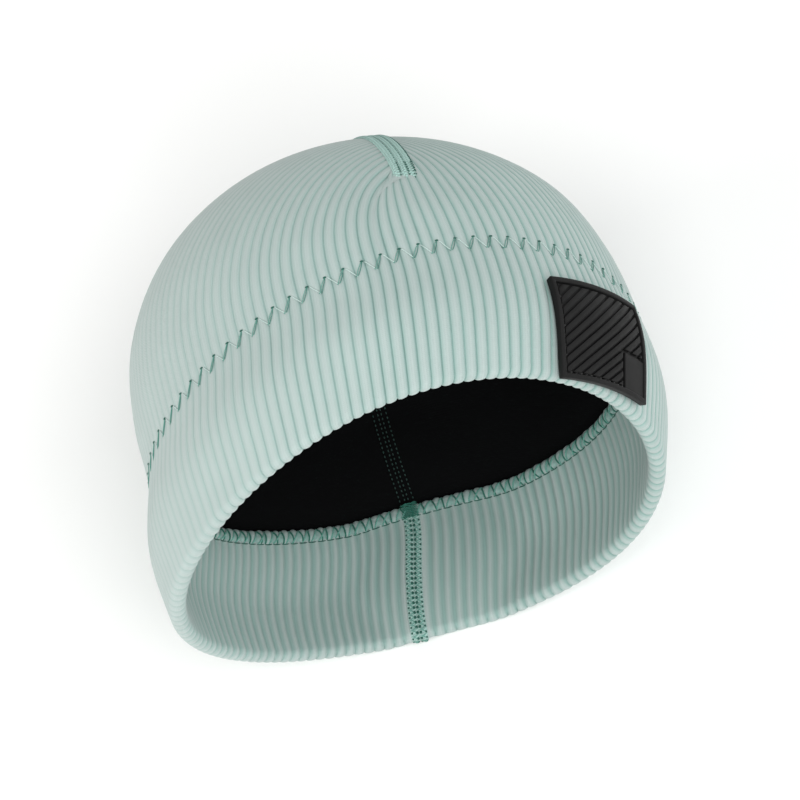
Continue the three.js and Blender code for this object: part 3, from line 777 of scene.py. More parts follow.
def room(rib, ring):
    """The room that a rib has, as a share of its full width, where the ribs crowd to the crown seam."""
    step = 1e-3
    p, q = spot(rib, ring)
    ahead_p, ahead_q = spot(rib, ring + step)
    aside_p, aside_q = spot(rib + step, ring)
    ahead = unit(np.stack([ahead_p - p, ahead_q - q], axis=-1))
    width = np.abs((aside_p - p) * ahead[..., 1] - (aside_q - q) * ahead[..., 0]) / step
    return np.where(ring >= 1, 1, np.minimum(1, width))


def zigzag_up(rib):
    """The height of the zigzag's middle above the start of the fold."""
    side = np.clip(-np.cos(rib), 0, 1) ** 6
    return ZIGZAG_UP - ZIGZAG_WAVE * np.cos(rib - ZIGZAG_LOWEST) - ZIGZAG_DIP * side


def zigzag_height(place, zigzags):
    """How high the zigzag runs above its own middle, at a place in ribs."""
    phase = np.mod(place / RIBS * zigzags, 1)
    falling = 1 - 2 * phase / PALE_SHARE
    rising = 2 * (phase - PALE_SHARE) / (1 - PALE_SHARE) - 1
    return np.where(phase < PALE_SHARE, falling, rising) * ZIGZAG_RISE / 2


def pucker(place, above):
    """How deep the zigzag draws the knit in, at a height above the zigzag's middle."""
    scene = bpy.context.scene
    near = np.abs(above - zigzag_height(place, scene.hat_stitch.zigzags))
    drawn = 0
    for distance, (share, reach) in ((above, PUCKER_VALLEY), (near, PUCKER_STITCH)):
        drawn = drawn + share * np.exp(-((distance / reach) ** 2))
    return scene.hat_knit.pucker / MM * drawn


def knit_drop(place, ring):
    """Depth of the grooves, which close where the wall is pressed, and of the back seam's channel."""
    rib = rib_angle(place)
    behind = unpressed(*spot(rib, ring))
    depth = bpy.context.scene.hat_knit.groove / MM * relief(place) * room(rib, ring)
    grooves = depth * (1 - pressed_share(behind)) * has_grooves(place) * stretch(rib)
    sunk = np.clip((CHANNEL_RIBS - from_back_seam(place)) / CHANNEL_EASE, 0, 1)
    return grooves + channel_depth(behind) * sunk


def knit_points(place, ring, above):
    """Points of the knit's outside, at a ring that lies a height above the zigzag's middle."""
    return in_wall(rib_angle(place), ring, knit_drop(place, ring) + pucker(place, above))


def knit_shade(place):
    """How much painted shade the outside's grooves take, as a share of the groove shade colour, less where
    the knit is stretched.
    """
    return KNIT_SHADE * stretch(rib_angle(place)) * np.clip(relief(place), 0, 1) * has_grooves(place)


class HAT_OT_crown(bpy.types.Operator):
    """Builds the knit above the zigzag, drawn in to the crown seam"""

    bl_idname = "hat.crown"
    bl_label = "Knit crown"

    def execute(self, context):
        cloth = Cloth()
        place = column_places(RIB_STEPS)
        rib = rib_angle(place)
        middle = zigzag_up(rib)
        top = ring_up(rib, middle + ZIGZAG_ROWS[-1])
        rows = [(top * share, np.inf) for share in np.linspace(0, 1, CROWN_ROWS) ** 1.5]
        rows += [(ring_up(rib, middle + height), height) for height in ZIGZAG_ROWS[-2::-1]]
        for i, (ring, height) in enumerate(rows):
            cloth.row(knit_points(place, ring, height), place, knit_shade(place), sewn=i == 0)
        place = column_places(WHOLE_RIBS)
        rib = rib_angle(place)
        edge = ring_up(rib, zigzag_up(rib))
        for share in np.linspace(1, 0, INNER_ROWS):
            cloth.row(in_wall(rib, edge * share, WALL), place, sewn=share == 0)
        cloth.finish("knit_crown", material(rib_knit_polyester_matt), "rib_knit", "ribbed_shell")
        return {"FINISHED"}


class HAT_OT_band(bpy.types.Operator):
    """Builds the knit below the zigzag, its fold and the hem that it turns into inside"""

    bl_idname = "hat.band"
    bl_label = "Knit band and hem"

    def execute(self, context):
        cloth = Cloth()
        self.add_faces(cloth, context.scene.hat_knit.groove / MM)
        self.add_back(cloth)
        cloth.finish(
            "knit_band_and_hem", material(rib_knit_polyester_matt), "rib_knit", "ribbed_shell", closed=True)
        return {"FINISHED"}

    def add_faces(self, cloth, full_groove):
        """The faces that show: down the outside, round the fold and up the hem."""
        place = column_places(RIB_STEPS)
        rib = rib_angle(place)
        middle = zigzag_up(rib)
        hem_groove = full_groove * hem_relief(place)
        for height in -ZIGZAG_ROWS:
            cloth.row(knit_points(place, ring_up(rib, middle + height), height), place, knit_shade(place))
        lower = middle - ZIGZAG_ROWS[-1]
        for share in np.linspace(1, 0, int(ZIGZAG_UP / HEM_STEP))[1:]:
            ring = ring_up(rib, lower * share)
            cloth.row(knit_points(place, ring, lower * share - middle), place, knit_shade(place))
        groove = full_groove * relief(place) * has_grooves(place)
        start_drop = knit_drop(place, RIM_RING)
        for turn in np.linspace(0, math.pi, FOLD_ROWS + 1)[1:]:
            inside = max(0, -math.cos(turn))
            outside_drop = groove + (start_drop - groove) * max(0, math.cos(turn))
            depth = outside_drop * (1 - inside) + hem_groove * inside
            # Painted shade in the grooves: the outside's share turns into the hem's round the fold
            shade = knit_shade(place) * (1 - inside) + HEM_SHADE * hem_relief(place) * inside
            cloth.row(round_fold(rib, turn, FOLD_RADIUS - depth), place, shade)
        for up in np.linspace(0, HEM, int(HEM / HEM_STEP) + 1)[1:]:
            points = in_wall(rib, ring_up(rib, up), HEM_FACE - hem_groove)
            cloth.row(points, place, HEM_SHADE * hem_relief(place))

    def add_back(self, cloth):
        """The faces that are hidden between the hem and the outside."""
        place = column_places(WHOLE_RIBS)
        rib = rib_angle(place)
        for up in np.linspace(HEM, 0, HIDDEN_ROWS):
            cloth.row(in_wall(rib, ring_up(rib, up), HEM_BACK), place)
        for turn in np.linspace(math.pi, 0, HIDDEN_FOLD_ROWS)[1:-1]:
            cloth.row(round_fold(rib, turn, FOLD_RADIUS - WALL), place)
        for share in np.linspace(0, 1, HIDDEN_ROWS):
            cloth.row(in_wall(rib, ring_up(rib, zigzag_up(rib) * share), WALL), place)


class HAT_OT_lining(bpy.types.Operator):
    """Builds the jersey lining, which ends behind the hem"""

    bl_idname = "hat.lining"
    bl_label = "Lining"

    def execute(self, context):
        cloth = Cloth()
        place = column_places(LINING_COLUMNS)
        rib = rib_angle(place)
        edge = ring_up(rib, HEM - TUCK)
        shares = np.linspace(0, 1, LINING_ROWS) ** 0.9
        for depth, run in ((LINING_FACE, shares), (LINING_TOP, shares[::-1])):
            for share in run:
                cloth.row(in_wall(rib, edge * share, depth), place, sewn=share == 0)
        cloth.finish("lining_jersey", material(jersey_brushed_black), "lining_jersey", "lining")
        return {"FINISHED"}


def lengths_along(points):
    """How far along its run each point lies. Runs may be stacked."""
    steps = np.linalg.norm(np.diff(points, axis=-2), axis=-1)
    return np.concatenate([np.zeros((*steps.shape[:-1], 1)), np.cumsum(steps, axis=-1)], axis=-1)


def frames(points, ups):
    """The way along a run of points and the way across it, for each point. Runs may be stacked."""
    ahead = unit(np.gradient(points, axis=-2))
    return ahead, unit(np.cross(ups, ahead))


def tubes(name, node, rings, girth, along, surface, sharp):
    """A piece of closed tubes: for each tube and step the points round it, and how far round and along."""
    many, steps, sides, _ = rings.shape
    number = np.arange(many * steps * sides).reshape(many, steps, sides)
    turned = np.roll(number, -1, axis=2)
    walls = np.stack([number[:, :-1], turned[:, :-1], turned[:, 1:], number[:, 1:]], axis=-1)
    faces = walls.reshape(-1, 4).tolist() + number[:, 0, ::-1].tolist() + number[:, -1].tolist()
    corner = np.zeros((many, steps - 1, sides, 4, 2))
    corner[..., [0, 3], 0] = girth[:-1, None]
    corner[..., [1, 2], 0] = girth[1:, None]
    corner[..., [0, 1], 1] = along[:, :-1, None, None]
    corner[..., [2, 3], 1] = along[:, 1:, None, None]
    uvs = np.concatenate([corner.reshape(-1, 2), np.zeros((2 * many * sides, 2))])
    finish_piece(new_piece(name, rings.reshape(-1, 3), faces, surface, uvs, sharp=sharp), "thread", node)


def sew(name, node, paths, ups, radius, kind=None):
    """Stitches as one piece, from paths of points and the ways up from the cloth. Without a kind of thread
    they are drawn out of the seam's own knit."""
    surface = material(thread_polyester, kind) if kind else material(seam_tape_knit_matt)
    ahead, across = frames(paths, np.broadcast_to(ups, paths.shape))
    rise = np.cross(ahead, across)
    girth = np.arange(THREAD_SIDES + 1) / THREAD_SIDES
    angles = girth[:-1, None] * TURN
    swell = np.full(paths.shape[1], 1.0)
    swell[[0, -1]] = THREAD_ENDS
    around = across[:, :, None] * np.cos(angles) + rise[:, :, None] * np.sin(angles)
    rings = paths[:, :, None] + around * (radius * swell)[None, :, None, None]
    tubes(name, node, rings, girth, lengths_along(paths), surface, 75)


def on_face(rib, ring, depth, lift):
    """Points and ways up on the outside of the wall."""
    at = spot(rib, ring)
    sunk = PRESSED_SINK * pressed_share(unpressed(*at))
    return in_wall(rib, ring, depth - lift + sunk), outward(*at)


class HAT_OT_zigzag(bpy.types.Operator):
    """Sews the zigzag that holds the hem: a taut leg down, a loose leg up and a needle hole at each peak"""

    bl_idname = "hat.zigzag"
    bl_label = "Zigzag"

    def execute(self, context):
        stitch = context.scene.hat_stitch
        pitch = RIBS / stitch.zigzags
        starts = np.arange(stitch.zigzags)[:, None] * pitch
        for name, (first, last, steps, radius, arch, kind, bow) in ZIGZAG_LEGS.items():
            t = np.linspace(0, 1, steps)
            radius = radius * stitch.radius / MM
            reach = (first + (last - first) * t) * pitch
            height = zigzag_height(starts + reach * 0.9999, stitch.zigzags)
            place = starts + reach + bow * np.sin(math.pi * t) * pitch
            rib = rib_angle(place)
            ring = ring_up(rib, zigzag_up(rib) + height)
            depth = pucker(place, height) + THREAD_SUNK * knit_drop(place, ring)
            ends = (t == 0) | (t == 1)
            lift = radius * 0.4 + arch * np.sin(math.pi * t) - 0.5 * ends
            sew(name, "ribbed_shell", *on_face(rib, ring, depth, lift), radius, kind)
        # Each needle hole is drawn as a short fat stitch of the shaded thread: painted shade in the hole
        rib = rib_angle(starts - 0.02 * pitch)
        height = ZIGZAG_RISE / 2 - HOLE_RADIUS
        ring = ring_up(rib, zigzag_up(rib) + height)
        depth = pucker(starts, height) + THREAD_SUNK * knit_drop(starts, ring)
        middle, up = on_face(rib, ring, depth, 0.12)
        side = unit(np.cross(up, np.array([0, 0, 1.0])))
        holes = middle + side * np.linspace(*HOLE_LENGTH, 3)[None, :, None]
        sew("zigzag_needle_holes", "ribbed_shell", holes, up, HOLE_RADIUS, "shaded")
        return {"FINISHED"}


def loft(name, node, centres, ups, section, surface):
    """A closed band along a run of points. The section has pairs of a distance aside and a rise."""
    across = frames(centres, ups)[1]
    rings = centres[:, None] + across[:, None] * section[:, :1] + ups[:, None] * section[:, 1:]
    girth = lengths_along(np.vstack([section, section[:1]]))
    tubes(name, node, rings[None], girth, lengths_along(centres)[None], surface, 50)


def cord_section(width, cords, base, rise):
    """The section of a band of cords that lie side by side."""
    turns = np.linspace(0, math.pi, CORD_SIDES + 1)[:-1]
    pitch = width / cords
    section = [(-width / 2, CORD_BASE)]
    for i in range(cords):
        middle = (i + 0.5) * pitch - width / 2
        section += [(middle - pitch / 2 * math.cos(a), base + rise * math.sin(a)) for a in turns]
    return np.array(section + [(width / 2, base), (width / 2, CORD_BASE)])


def even_run(points, ups, step):
    """The same run with points at even distances."""
    along = lengths_along(points)
    marks = np.linspace(0, along[-1], max(2, int(round(along[-1] / step)) + 1))
    points, ups = (
        np.stack([np.interp(marks, along, column) for column in run.T], axis=-1) for run in (points, ups))
    return points, unit(ups)


def in_rows(rows, ups):
    """Rows of stitches' paths as one set, with the way up at each point. ups has one for each stitch."""
    paths = np.concatenate(rows)
    return paths, np.broadcast_to(np.tile(ups[:, None], (len(rows), 1, 1)), paths.shape)


def running(points, ups, asides, rise, length, pitch, slant):
    """Paths of short stitches in rows along a run, each row a distance aside of it."""
    points, ups = even_run(points, ups, pitch / 4)
    ahead, across = frames(points, ups)
    starts = np.arange(0, len(points) - 4, 4)
    points, across, ahead, up = (run[starts][:, None] for run in (points, across, ahead, ups))
    t = np.linspace(0, 1, 5)[:, None]
    arch = rise + RUNNING_ARCH * np.sin(math.pi * t) - RUNNING_SINK
    rows = [points + across * (aside + slant * (t - 0.5)) + ahead * (t * length) + up * arch
            for aside in asides]
    return in_rows(rows, up[:, 0])


def flatlock(points, ups, step):
    """Paths of the stitches of a flat seam: between each pair of rows a thread slants across and back."""
    points, ups = even_run(points, ups, step)
    ahead, across = (way[:-1, None] for way in frames(points, ups))
    points, ups = points[:-1, None], ups[:-1]
    t = np.linspace(0, 1, 5)[:, None]
    arch = LOCK_RISE + LOCK_ARCH * np.sin(math.pi * t)
    rows = []
    for middle in LOCK_ROWS:
        for way, advance in ((1, 0.62 * t), (-1, 0.45 + 0.55 * t)):
            aside = middle + LOCK_GAUGE * way * (t - 0.5)
            rows.append(points + across * aside + ahead * step * advance + ups[:, None] * arch)
    return in_rows(rows, ups)


def needle_dots(points, ups, step, asides, rise, size):
    """Paths of short fat stitches, which read as the dots where the needle went in."""
    points, ups = even_run(points, ups, step)
    ahead, across = (way[:, None] for way in frames(points, ups))
    t = np.linspace(-0.5, 0.5, 3)[:, None]
    rows = [points[:, None] + across * aside + ahead * size * t + ups[:, None] * rise for aside in asides]
    return in_rows(rows, ups)


def crown_run(depth, count=120):
    """Points and ways up along the crown seam, from its back end to its front end."""
    share = np.linspace(1, -1, count)[:, None]
    at = SEAM_MIDDLE + (SEAM_BACK - SEAM_MIDDLE) * share
    up = outward(at[:, 0], at[:, 1])
    return skin(at[:, 0], at[:, 1]) - up * depth, up


class HAT_OT_crown_seam(bpy.types.Operator):
    """Sews the raised seam over the crown: three soft cords with dark stitches between them"""

    bl_idname = "hat.crown_seam"
    bl_label = "Crown seam"

    def execute(self, context):
        node = "crown_seam"
        radius = context.scene.hat_stitch.radius / MM
        points, ups = even_run(*crown_run(CROWN_SEAM_DEPTH), CROWN_SEAM_STEP)
        from_end = np.minimum(np.arange(len(points)), np.arange(len(points))[::-1])[:, None]
        points = points - ups * CROWN_SEAM_DIVE * np.clip(1 - from_end / CROWN_SEAM_TAIL, 0, 1) ** 2
        section = cord_section(CROWN_SEAM_WIDTH, CROWN_SEAM_CORDS, CROWN_SEAM_DEPTH, SEAM_RISE)
        loft("crown_seam_cords", node, points, ups, section, material(seam_tape_knit_matt))
        for name, (shares, rise, length, pitch, slant, thickness, kind) in CROWN_STITCHES.items():
            asides = np.array(shares) * CROWN_SEAM_WIDTH / 2
            rows = running(points, ups, asides, rise, length, pitch, slant)
            sew("crown_seam_" + name, node, *rows, radius * thickness, kind)
        dots = needle_dots(points[-7:], ups[-7:], CROWN_SEAM_STEP, CROWN_SEAM_DOTS, 0.95, 0.4)
        sew("crown_seam_end_stitches", node, *dots, radius * 0.95, "shaded")
        return {"FINISHED"}


def back_run():
    """Points and ways up along the back seam: down the outside, round the fold and up the hem's face."""
    rings = np.append(np.linspace(BACK_SEAM_TOP, 1, 40), ring_up(BACK_RIB, np.linspace(40, 0, 20)))
    at = spot(BACK_RIB, rings)
    outside = in_wall(BACK_RIB, rings, channel_depth(unpressed(*at)))
    turns = np.linspace(0, math.pi, 12)[1:-1]
    sunk = channel_depth(unpressed(*spot(BACK_RIB, RIM_RING)))
    fold = round_fold(BACK_RIB, turns, FOLD_RADIUS - sunk * np.maximum(0, np.cos(turns)))
    fold_up = unit(fold - round_fold(BACK_RIB, turns, 0))
    rings = ring_up(BACK_RIB, np.linspace(0, HEM - 3, 24))
    inside = in_wall(BACK_RIB, rings, HEM_FACE)
    inside_up = -outward(*spot(BACK_RIB, rings))
    return np.concatenate([outside, fold, inside]), np.concatenate([outward(*at), fold_up, inside_up])


class HAT_OT_back_seam(bpy.types.Operator):
    """Sews the flat seam down the back, from the crown seam round the fold to the hem's edge"""

    bl_idname = "hat.back_seam"
    bl_label = "Back seam"

    def execute(self, context):
        node = "back_seam"
        stitch = context.scene.hat_stitch
        step = stitch.lockstep / MM
        points, ups = even_run(*back_run(), BACK_SEAM_STEP)
        section = cord_section(BACK_SEAM_WIDTH, 2, 0.25, 0.3)
        loft("back_seam_tape", node, points, ups, section, material(seam_tape_knit_matt))
        rows = flatlock(points, ups, step)
        sew("back_seam_stitches", node, *rows, stitch.radius / MM * LOCK_THREAD, "soft")
        for name, side, size in (("outer", 1, 0.4), ("inner", -1, 0.56)):
            asides = [middle + math.copysign(LOCK_GAUGE / 2, middle) * side for middle in LOCK_ROWS]
            dots = needle_dots(points, ups, step, asides, DOT_RISE, size * DOT_STRETCH)
            sew(f"back_seam_{name}_dots", node, *dots, size, "shaded")
        return {"FINISHED"}


class HAT_OT_lining_seam(bpy.types.Operator):
    """Sews the same seam on the lining: four dotted rows on black, up the back and over the crown"""

    bl_idname = "hat.lining_seam"
    bl_label = "Lining seam"

    def execute(self, context):
        node = "lining_seam"
        face = LINING_FACE + SEAM_LIFT
        rings = np.linspace(float(ring_up(BACK_RIB, HEM + 0.8)), LINING_SEAM_TOP, 60)
        crown, crown_up = crown_run(face)
        points = np.concatenate([in_wall(BACK_RIB, rings, face), crown])
        ups = -np.concatenate([outward(*spot(BACK_RIB, rings)), crown_up])
        points, ups = even_run(points, ups, LINING_SEAM_STEP)
        section = cord_section(LINING_SEAM_WIDTH, 2, 0.2, 0.25)
        loft("lining_seam_tape", node, points, ups, section, material(jersey_brushed_black))
        asides = [middle + side * LOCK_GAUGE / 2 for middle in LOCK_ROWS for side in (-1, 1)]
        dots = needle_dots(points, ups, context.scene.hat_stitch.lockstep / MM, asides, DOT_RISE, 0.8)
        sew("lining_seam_stitches", node, *dots, 0.22, "black_teal")
        return {"FINISHED"}


def lump_phase(place, turn):
    """How far a place is from one waist of the roll to the next, from 0 to 1."""
    return np.mod(place + LUMP_SLANT * np.sin(turn), 1)


def on_roll(place, turn, lift):
    """A point of the roll, at a place in ribs and a turn round it: 0 is its front, a quarter is its top."""
    phase = lump_phase(place, turn)
    waist = 1 - LUMP_WAIST * np.abs(np.cos(math.pi * phase)) ** 3
    lump = LUMP_UNEVEN * np.sin(np.floor(place) * 1.7) * np.sin(math.pi * phase)
    size = waist * (1 + lump + ROLL_WAVE * np.sin(place * 0.61))
    above = ROLL_MIDDLE + (ROLL_HIGH - ROLL_LOW) / 2 * np.sin(turn) * (0.5 + 0.5 * size)
    depth = ROLL_CENTRE + (ROLL_FRONT - ROLL_BACK) / 2 * np.cos(turn) * size + lift
    rib = rib_angle(place)
    return in_wall(rib, ring_up(rib, HEM + above), depth)


class HAT_OT_overlock(bpy.types.Operator):
    """Binds the hem's edge: a lumpy roll of knit with thread wound round it, and a stitch line below"""

    bl_idname = "hat.overlock"
    bl_label = "Overlocked edge"

    def execute(self, context):
        node = "hem_overlock"
        radius = context.scene.hat_stitch.radius / MM
        place = column_places(np.arange(LUMP_STEPS) / LUMP_STEPS)
        cloth = Cloth()
        for turn in np.arange(ROLL_SIDES) / ROLL_SIDES * TURN:
            # Painted shade on the roll: a little all over, darkest at the waists between the lumps, where
            # the dark band is widest towards the roll's foot
            waist = np.abs(np.cos(math.pi * lump_phase(place, turn)))
            shade = 0.15 + 0.85 * waist ** (2 + math.sin(turn))
            cloth.row(on_roll(place, turn, 0), place, shade, along=turn * 2)
        cloth.finish("hem_edge_roll", material(rib_knit_polyester_matt), "rib_knit", node, closed=True)
        ribs = np.arange(RIBS)[:, None]
        lean = STRAND_LEAN * (1 - np.sin(STRAND_TURNS)) / 2
        # One set of strands takes painted shade, a darker copy of the thread colour, and the other painted
        # light, a lighter copy
        for name, side, lift, kind in (
                ("hem_edge_thread", -1, 0.12, "bound"), ("hem_edge_loose_thread", 1, 0.2, "soft")):
            uneven = 1 + 0.5 * np.sin(ribs * 2.7 + side)
            place = ribs - LUMP_SLANT * np.sin(STRAND_TURNS) + side * lean * uneven
            path = on_roll(place, STRAND_TURNS, lift)
            up = unit(path - on_roll(place, STRAND_TURNS + math.pi, 0))
            sew(name, node, path, up, radius * 1.1, kind)
        place = ribs + NEEDLE_LINE
        rib = rib_angle(place)
        ring = ring_up(rib, HEM + ROLL_LOW - 0.1)
        depth = HEM_FACE - 0.4 * context.scene.hat_knit.groove / MM * hem_relief(place)
        line = in_wall(rib, ring, depth + 0.15)
        sew("hem_edge_needle_line", node, line, -outward(*spot(rib, ring)), radius * 0.7, "shaded")
        self.bartack(radius)
        return {"FINISHED"}

    def bartack(self, radius):
        """The block of close stitches where the back seam meets the hem's edge."""
        rows = np.linspace(ROLL_LOW - 0.2, ROLL_HIGH - 0.1, BARTACK_ROWS)[:, None]
        reach = np.linspace(-0.5, 0.5, 7) * BARTACK_WIDTH
        rib = rib_angle(RIBS / 2 + reach / HALF_WIDTH * RIBS / TURN + rows * 0)
        ring = ring_up(rib, HEM + rows + 0.25 * np.sin(reach * 2))
        depth = ROLL_FRONT + SEAM_LIFT - 0.5 * (2 * reach / BACK_SEAM_WIDTH) ** 4
        paths = in_wall(rib, ring, np.broadcast_to(depth, rib.shape))
        ups = -outward(*spot(rib, ring))
        sew("back_seam_bartack", "hem_overlock", paths, ups, radius * 0.85, "bound")


def deselect():
    """Leaves edit mode and selects nothing."""
    if bpy.context.object and bpy.context.object.mode != "OBJECT":
        bpy.ops.object.mode_set(mode="OBJECT")
    bpy.ops.object.select_all(action="DESELECT")


def add_box(low, high):
    """A box between two corners, in millimetres, selected and with its place in its mesh."""
    low, high = np.array(low, float) * MM, np.array(high, float) * MM
    deselect()
    bpy.ops.mesh.primitive_cube_add(size=1, location=(low + high) / 2, scale=high - low)
    bpy.ops.object.transform_apply(location=True, rotation=True, scale=True)
    return bpy.context.object


def apply_modifier(piece, kind, **settings):
    """Adds a modifier of a kind with its settings, and applies it."""
    modifier = piece.modifiers.new(kind.title(), kind)
    for name, value in settings.items():
        setattr(modifier, name, value)
    bpy.context.view_layer.objects.active = piece
    bpy.ops.object.modifier_apply(modifier=modifier.name)


def cut_for_bending(piece):
    """Cuts the piece's faces across both ways, so that it can follow the head's curve."""
    deselect()
    piece.select_set(True)
    bpy.context.view_layer.objects.active = piece
    bpy.ops.object.mode_set(mode="EDIT")
    for axis, size in ((0, PATCH_WIDTH), (1, PATCH_HEIGHT)):
        normal = [0, 0, 0]
        normal[axis] = 1
        for place in np.arange(-size / 2 + BEND_STEP, size / 2, BEND_STEP):
            at = [0, 0, 0]
            at[axis] = place * MM
            bpy.ops.mesh.select_all(action="SELECT")
            bpy.ops.mesh.bisect(plane_co=at, plane_no=normal)
    bpy.ops.object.mode_set(mode="OBJECT")


def on_patch(flat):
    """Bends points of the flat patch, in millimetres, onto the wall. Heights are above the patch's back."""
    middle_ring = ring_up(PATCH_RIB, PATCH_UP)
    step = 1e-3
    ends = in_wall(np.array([PATCH_RIB - step, PATCH_RIB + step]), middle_ring, np.zeros(2))
    girth = np.linalg.norm(ends[1] - ends[0]) / (2 * step)
    around = flat[..., 0] * math.cos(PATCH_TURN) - flat[..., 1] * math.sin(PATCH_TURN)
    above = flat[..., 0] * math.sin(PATCH_TURN) + flat[..., 1] * math.cos(PATCH_TURN)
    rib = PATCH_RIB + around / girth
    return in_wall(rib, ring_up(rib, PATCH_UP + above), -PATCH_GAP - flat[..., 2])


def bend_piece(piece, name):
    """Bends a flat piece of the patch onto the wall and finishes it."""
    mesh = piece.data
    flat = np.array([vertex.co for vertex in mesh.vertices]) / MM
    mesh.vertices.foreach_set("co", laid(on_patch(flat)).astype(np.float32).ravel())
    mesh.materials.clear()
    add_surface(mesh, material(silicone_rubber_moulded_satin), 40)
    mesh.update()
    piece.name = name
    mesh.name = name
    finish_piece(piece, "patch_rubber", "patch")


class HAT_OT_patch(bpy.types.Operator):
    """Moulds the patch: a framed plate with slanting bars and a bare pad, bent onto the knit"""

    bl_idname = "hat.patch"
    bl_label = "Patch"

    def execute(self, context):
        bevel = context.scene.hat_patch.bevel
        for piece, name, width, segments in (
                (self.add_plate(), "patch_plate", bevel, 3),
                (self.add_bars(), "patch_bars", bevel * 0.8, 2),
                (self.add_pad(), "patch_pad", bevel * 0.8, 2)):
            apply_modifier(piece, "BEVEL", width=width, segments=segments, limit_method="ANGLE")
            cut_for_bending(piece)
            bend_piece(piece, name)
        self.sew_down()
        return {"FINISHED"}

    def add_plate(self):
        """The plate, sunk inside its frame."""
        plate = add_box((-PATCH_RIGHT, -PATCH_TOP, 0), (PATCH_RIGHT, PATCH_TOP, PATCH_BASE + FRAME_RISE))
        bpy.ops.object.mode_set(mode="EDIT")
        bpy.ops.mesh.select_all(action="DESELECT")
        made = bmesh.from_edit_mesh(plate.data)
        for face in made.faces:
            face.select_set(face.normal.z > 0.9)
        bmesh.update_edit_mesh(plate.data)
        bpy.ops.mesh.inset(thickness=PATCH_FRAME * MM, depth=0)
        bpy.ops.mesh.extrude_region_move(TRANSFORM_OT_translate={"value": (0, 0, -FRAME_RISE * MM)})
        bpy.ops.object.mode_set(mode="OBJECT")
        return plate

    def add_bars(self):
        """The slanting bars, cut to the room inside the frame and beside the pad."""
        slant = Matrix.Rotation(BAR_SLANT, 4, "Z")
        reach = math.hypot(PATCH_WIDTH, PATCH_HEIGHT)
        count = math.ceil(reach / 2 / BAR_PITCH)
        bars = []
        for i in range(-count, count + 1):
            low = (-reach, i * BAR_PITCH - BAR_WIDTH / 2, PATCH_BASE - BAR_SINK)
            bars.append(add_box(low, (reach, low[1] + BAR_WIDTH, PATCH_BASE + BAR_RISE)))
            bars[-1].data.transform(slant)
        deselect()
        for bar in bars:
            bar.select_set(True)
        bpy.context.view_layer.objects.active = bars[0]
        bpy.ops.object.join()
        right, top = INNER_RIGHT - BAR_MARGIN, INNER_TOP - BAR_MARGIN
        inside = add_box((-right, -top, 0), (right, top, CUT_REACH))
        pad_room = PAD_SIZE + PAD_MARGIN
        pad_cut = add_box(
            (INNER_RIGHT - pad_room, -PATCH_TOP, -CUT_REACH),
            (PATCH_RIGHT, pad_room - INNER_TOP, CUT_REACH))
        for tool, operation in ((inside, "INTERSECT"), (pad_cut, "DIFFERENCE")):
            apply_modifier(bars[0], "BOOLEAN", object=tool, operation=operation, solver="EXACT")
            bpy.data.objects.remove(tool)
        return bars[0]

    def add_pad(self):
        """The bare pad in the corner, which runs halfway under the frame."""
        under = PATCH_FRAME / 2
        return add_box(
            (INNER_RIGHT - PAD_SIZE, under - PATCH_TOP, PATCH_BASE - BAR_SINK),
            (PATCH_RIGHT - under, PAD_SIZE - INNER_TOP, PATCH_BASE + BAR_RISE))

    def sew_down(self):
        """The small stitches in the groove inside the frame, at the left and along the bottom."""
        t = np.linspace(0, 1, 4)
        left, bottom = -INNER_RIGHT, -INNER_TOP
        paths = [np.stack([left + 0.15 + 0.9 * t, y + 0.25 * t, PATCH_BASE + 0.55 * t], -1)
                 for y in np.arange(bottom + 1.2, INNER_TOP - 1, PATCH_STITCH)]
        paths += [np.stack([x + 0.9 * t, bottom + 0.3 + 0.3 * t, PATCH_BASE + 0.3 + 0 * t], -1)
                  for x in np.arange(left + 2, INNER_RIGHT - PAD_SIZE - 1, PATCH_STITCH)]
        flat = np.array(paths)
        bent = on_patch(flat)
        ups = unit(on_patch(flat + np.array([0, 0, 1.0])) - bent)
        sew("patch_stitches", "patch", bent, ups, 0.26, "black")


def add_light(name, place, size, colour, power):
    """A soft square light that shines at the hat from a place in metres."""
    deselect()
    bpy.ops.object.light_add(type="AREA", location=place)
    light = bpy.context.object
    light.name = name
    light.data.size = size
    light.data.energy = power
    light.data.color = colour
    light.rotation_euler = (Vector(LIGHT_AIM) - light.location).to_track_quat("-Z", "Y").to_euler()


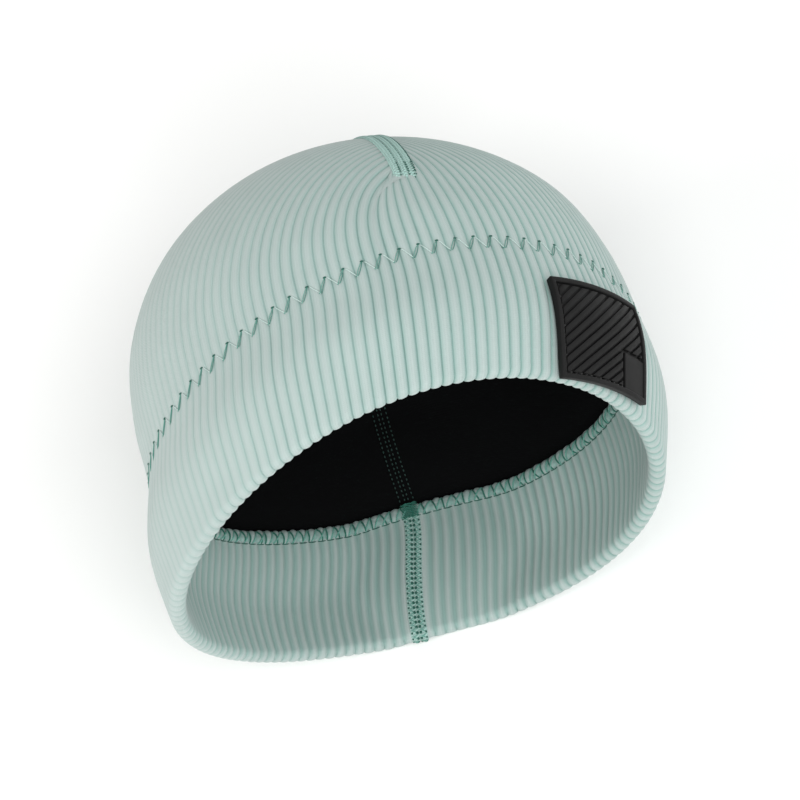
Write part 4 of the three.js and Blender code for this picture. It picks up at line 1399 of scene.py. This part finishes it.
class HAT_OT_stage(bpy.types.Operator):
    """Sets the camera at the photograph's angle, over a pale floor, with soft studio lights"""

    bl_idname = "hat.stage"
    bl_label = "Stage"

    def execute(self, context):
        stage = context.scene.hat_stage
        self.add_camera()
        deselect()
        bpy.ops.mesh.primitive_plane_add(size=FLOOR_SIZE, location=(0, 0, 0))
        floor = context.object
        floor.name = "floor"
        floor.data.materials.append(material(floor_board_matt))
        for name, look in LIGHTS.items():
            add_light(name + "_light", *look, getattr(stage, name))
        world = bpy.data.worlds.new("studio_sky")
        world.use_nodes = True
        background = world.node_tree.nodes["Background"].inputs
        background["Color"].default_value = (1, 1, 1, 1)
        background["Strength"].default_value = stage.sky
        context.scene.world = world
        context.scene.view_settings.view_transform = "Standard"
        return {"FINISHED"}

    def add_camera(self):
        """The camera looks at CAMERA_AIM, and its shift puts that point at AIM_PIXEL."""
        yaw, pitch, roll = (math.radians(a) for a in (CAMERA_YAW, CAMERA_PITCH, CAMERA_ROLL))
        level_right = np.array([math.cos(yaw), math.sin(yaw), 0])
        ahead = np.array([-math.sin(yaw), math.cos(yaw), 0]) * math.cos(pitch)
        ahead = ahead - np.array([0, 0, 1]) * math.sin(pitch)
        level_up = np.cross(level_right, ahead)
        right = level_right * math.cos(roll) + level_up * math.sin(roll)
        up = level_up * math.cos(roll) - level_right * math.sin(roll)
        deselect()
        bpy.ops.object.camera_add()
        camera = bpy.context.object
        camera.name = "camera"
        turned = Matrix([laid_way(right), laid_way(up), -laid_way(ahead)]).transposed().to_4x4()
        turned.translation = Vector(laid(CAMERA_AIM - ahead * CAMERA_AWAY))
        camera.matrix_world = turned
        camera.data.sensor_width = SENSOR
        camera.data.lens = PIXELS_A_MM * CAMERA_AWAY / PHOTO_SIZE * SENSOR
        camera.data.shift_x = (PHOTO_SIZE / 2 - AIM_PIXEL[0]) / PHOTO_SIZE
        camera.data.shift_y = (AIM_PIXEL[1] - PHOTO_SIZE / 2) / PHOTO_SIZE
        camera.data.clip_end = 20
        bpy.context.scene.camera = camera


class HAT_PT_panel(bpy.types.Panel):
    """Lists the pieces of the hat"""

    bl_idname = "HAT_PT_panel"
    bl_label = "Hat"
    bl_space_type = "VIEW_3D"
    bl_region_type = "UI"
    bl_category = "Hat"

    def draw(self, context):
        for group in SETTINGS:
            settings = getattr(context.scene, group)
            for name in settings.__annotations__:
                self.layout.prop(settings, name)
        for operator in OPERATORS:
            self.layout.operator(operator.bl_idname)


SETTINGS = {
    "hat_knit": KnitSettings,
    "hat_stitch": StitchSettings,
    "hat_patch": PatchSettings,
    "hat_stage": StageSettings,
}
OPERATORS = (
    HAT_OT_stage,
    HAT_OT_crown,
    HAT_OT_band,
    HAT_OT_lining,
    HAT_OT_overlock,
    HAT_OT_zigzag,
    HAT_OT_crown_seam,
    HAT_OT_back_seam,
    HAT_OT_lining_seam,
    HAT_OT_patch,
)
CLASSES = (*SETTINGS.values(), *OPERATORS, HAT_PT_panel)


def register():
    for kind in CLASSES:
        bpy.utils.register_class(kind)
    for name, kind in SETTINGS.items():
        setattr(bpy.types.Scene, name, PointerProperty(type=kind))


def unregister():
    for name in SETTINGS:
        delattr(bpy.types.Scene, name)
    for kind in reversed(CLASSES):
        bpy.utils.unregister_class(kind)


def main():
    register()
    for operator in OPERATORS:
        group, name = operator.bl_idname.split(".")
        getattr(getattr(bpy.ops, group), name)()


if __name__ == "__main__":
    main()
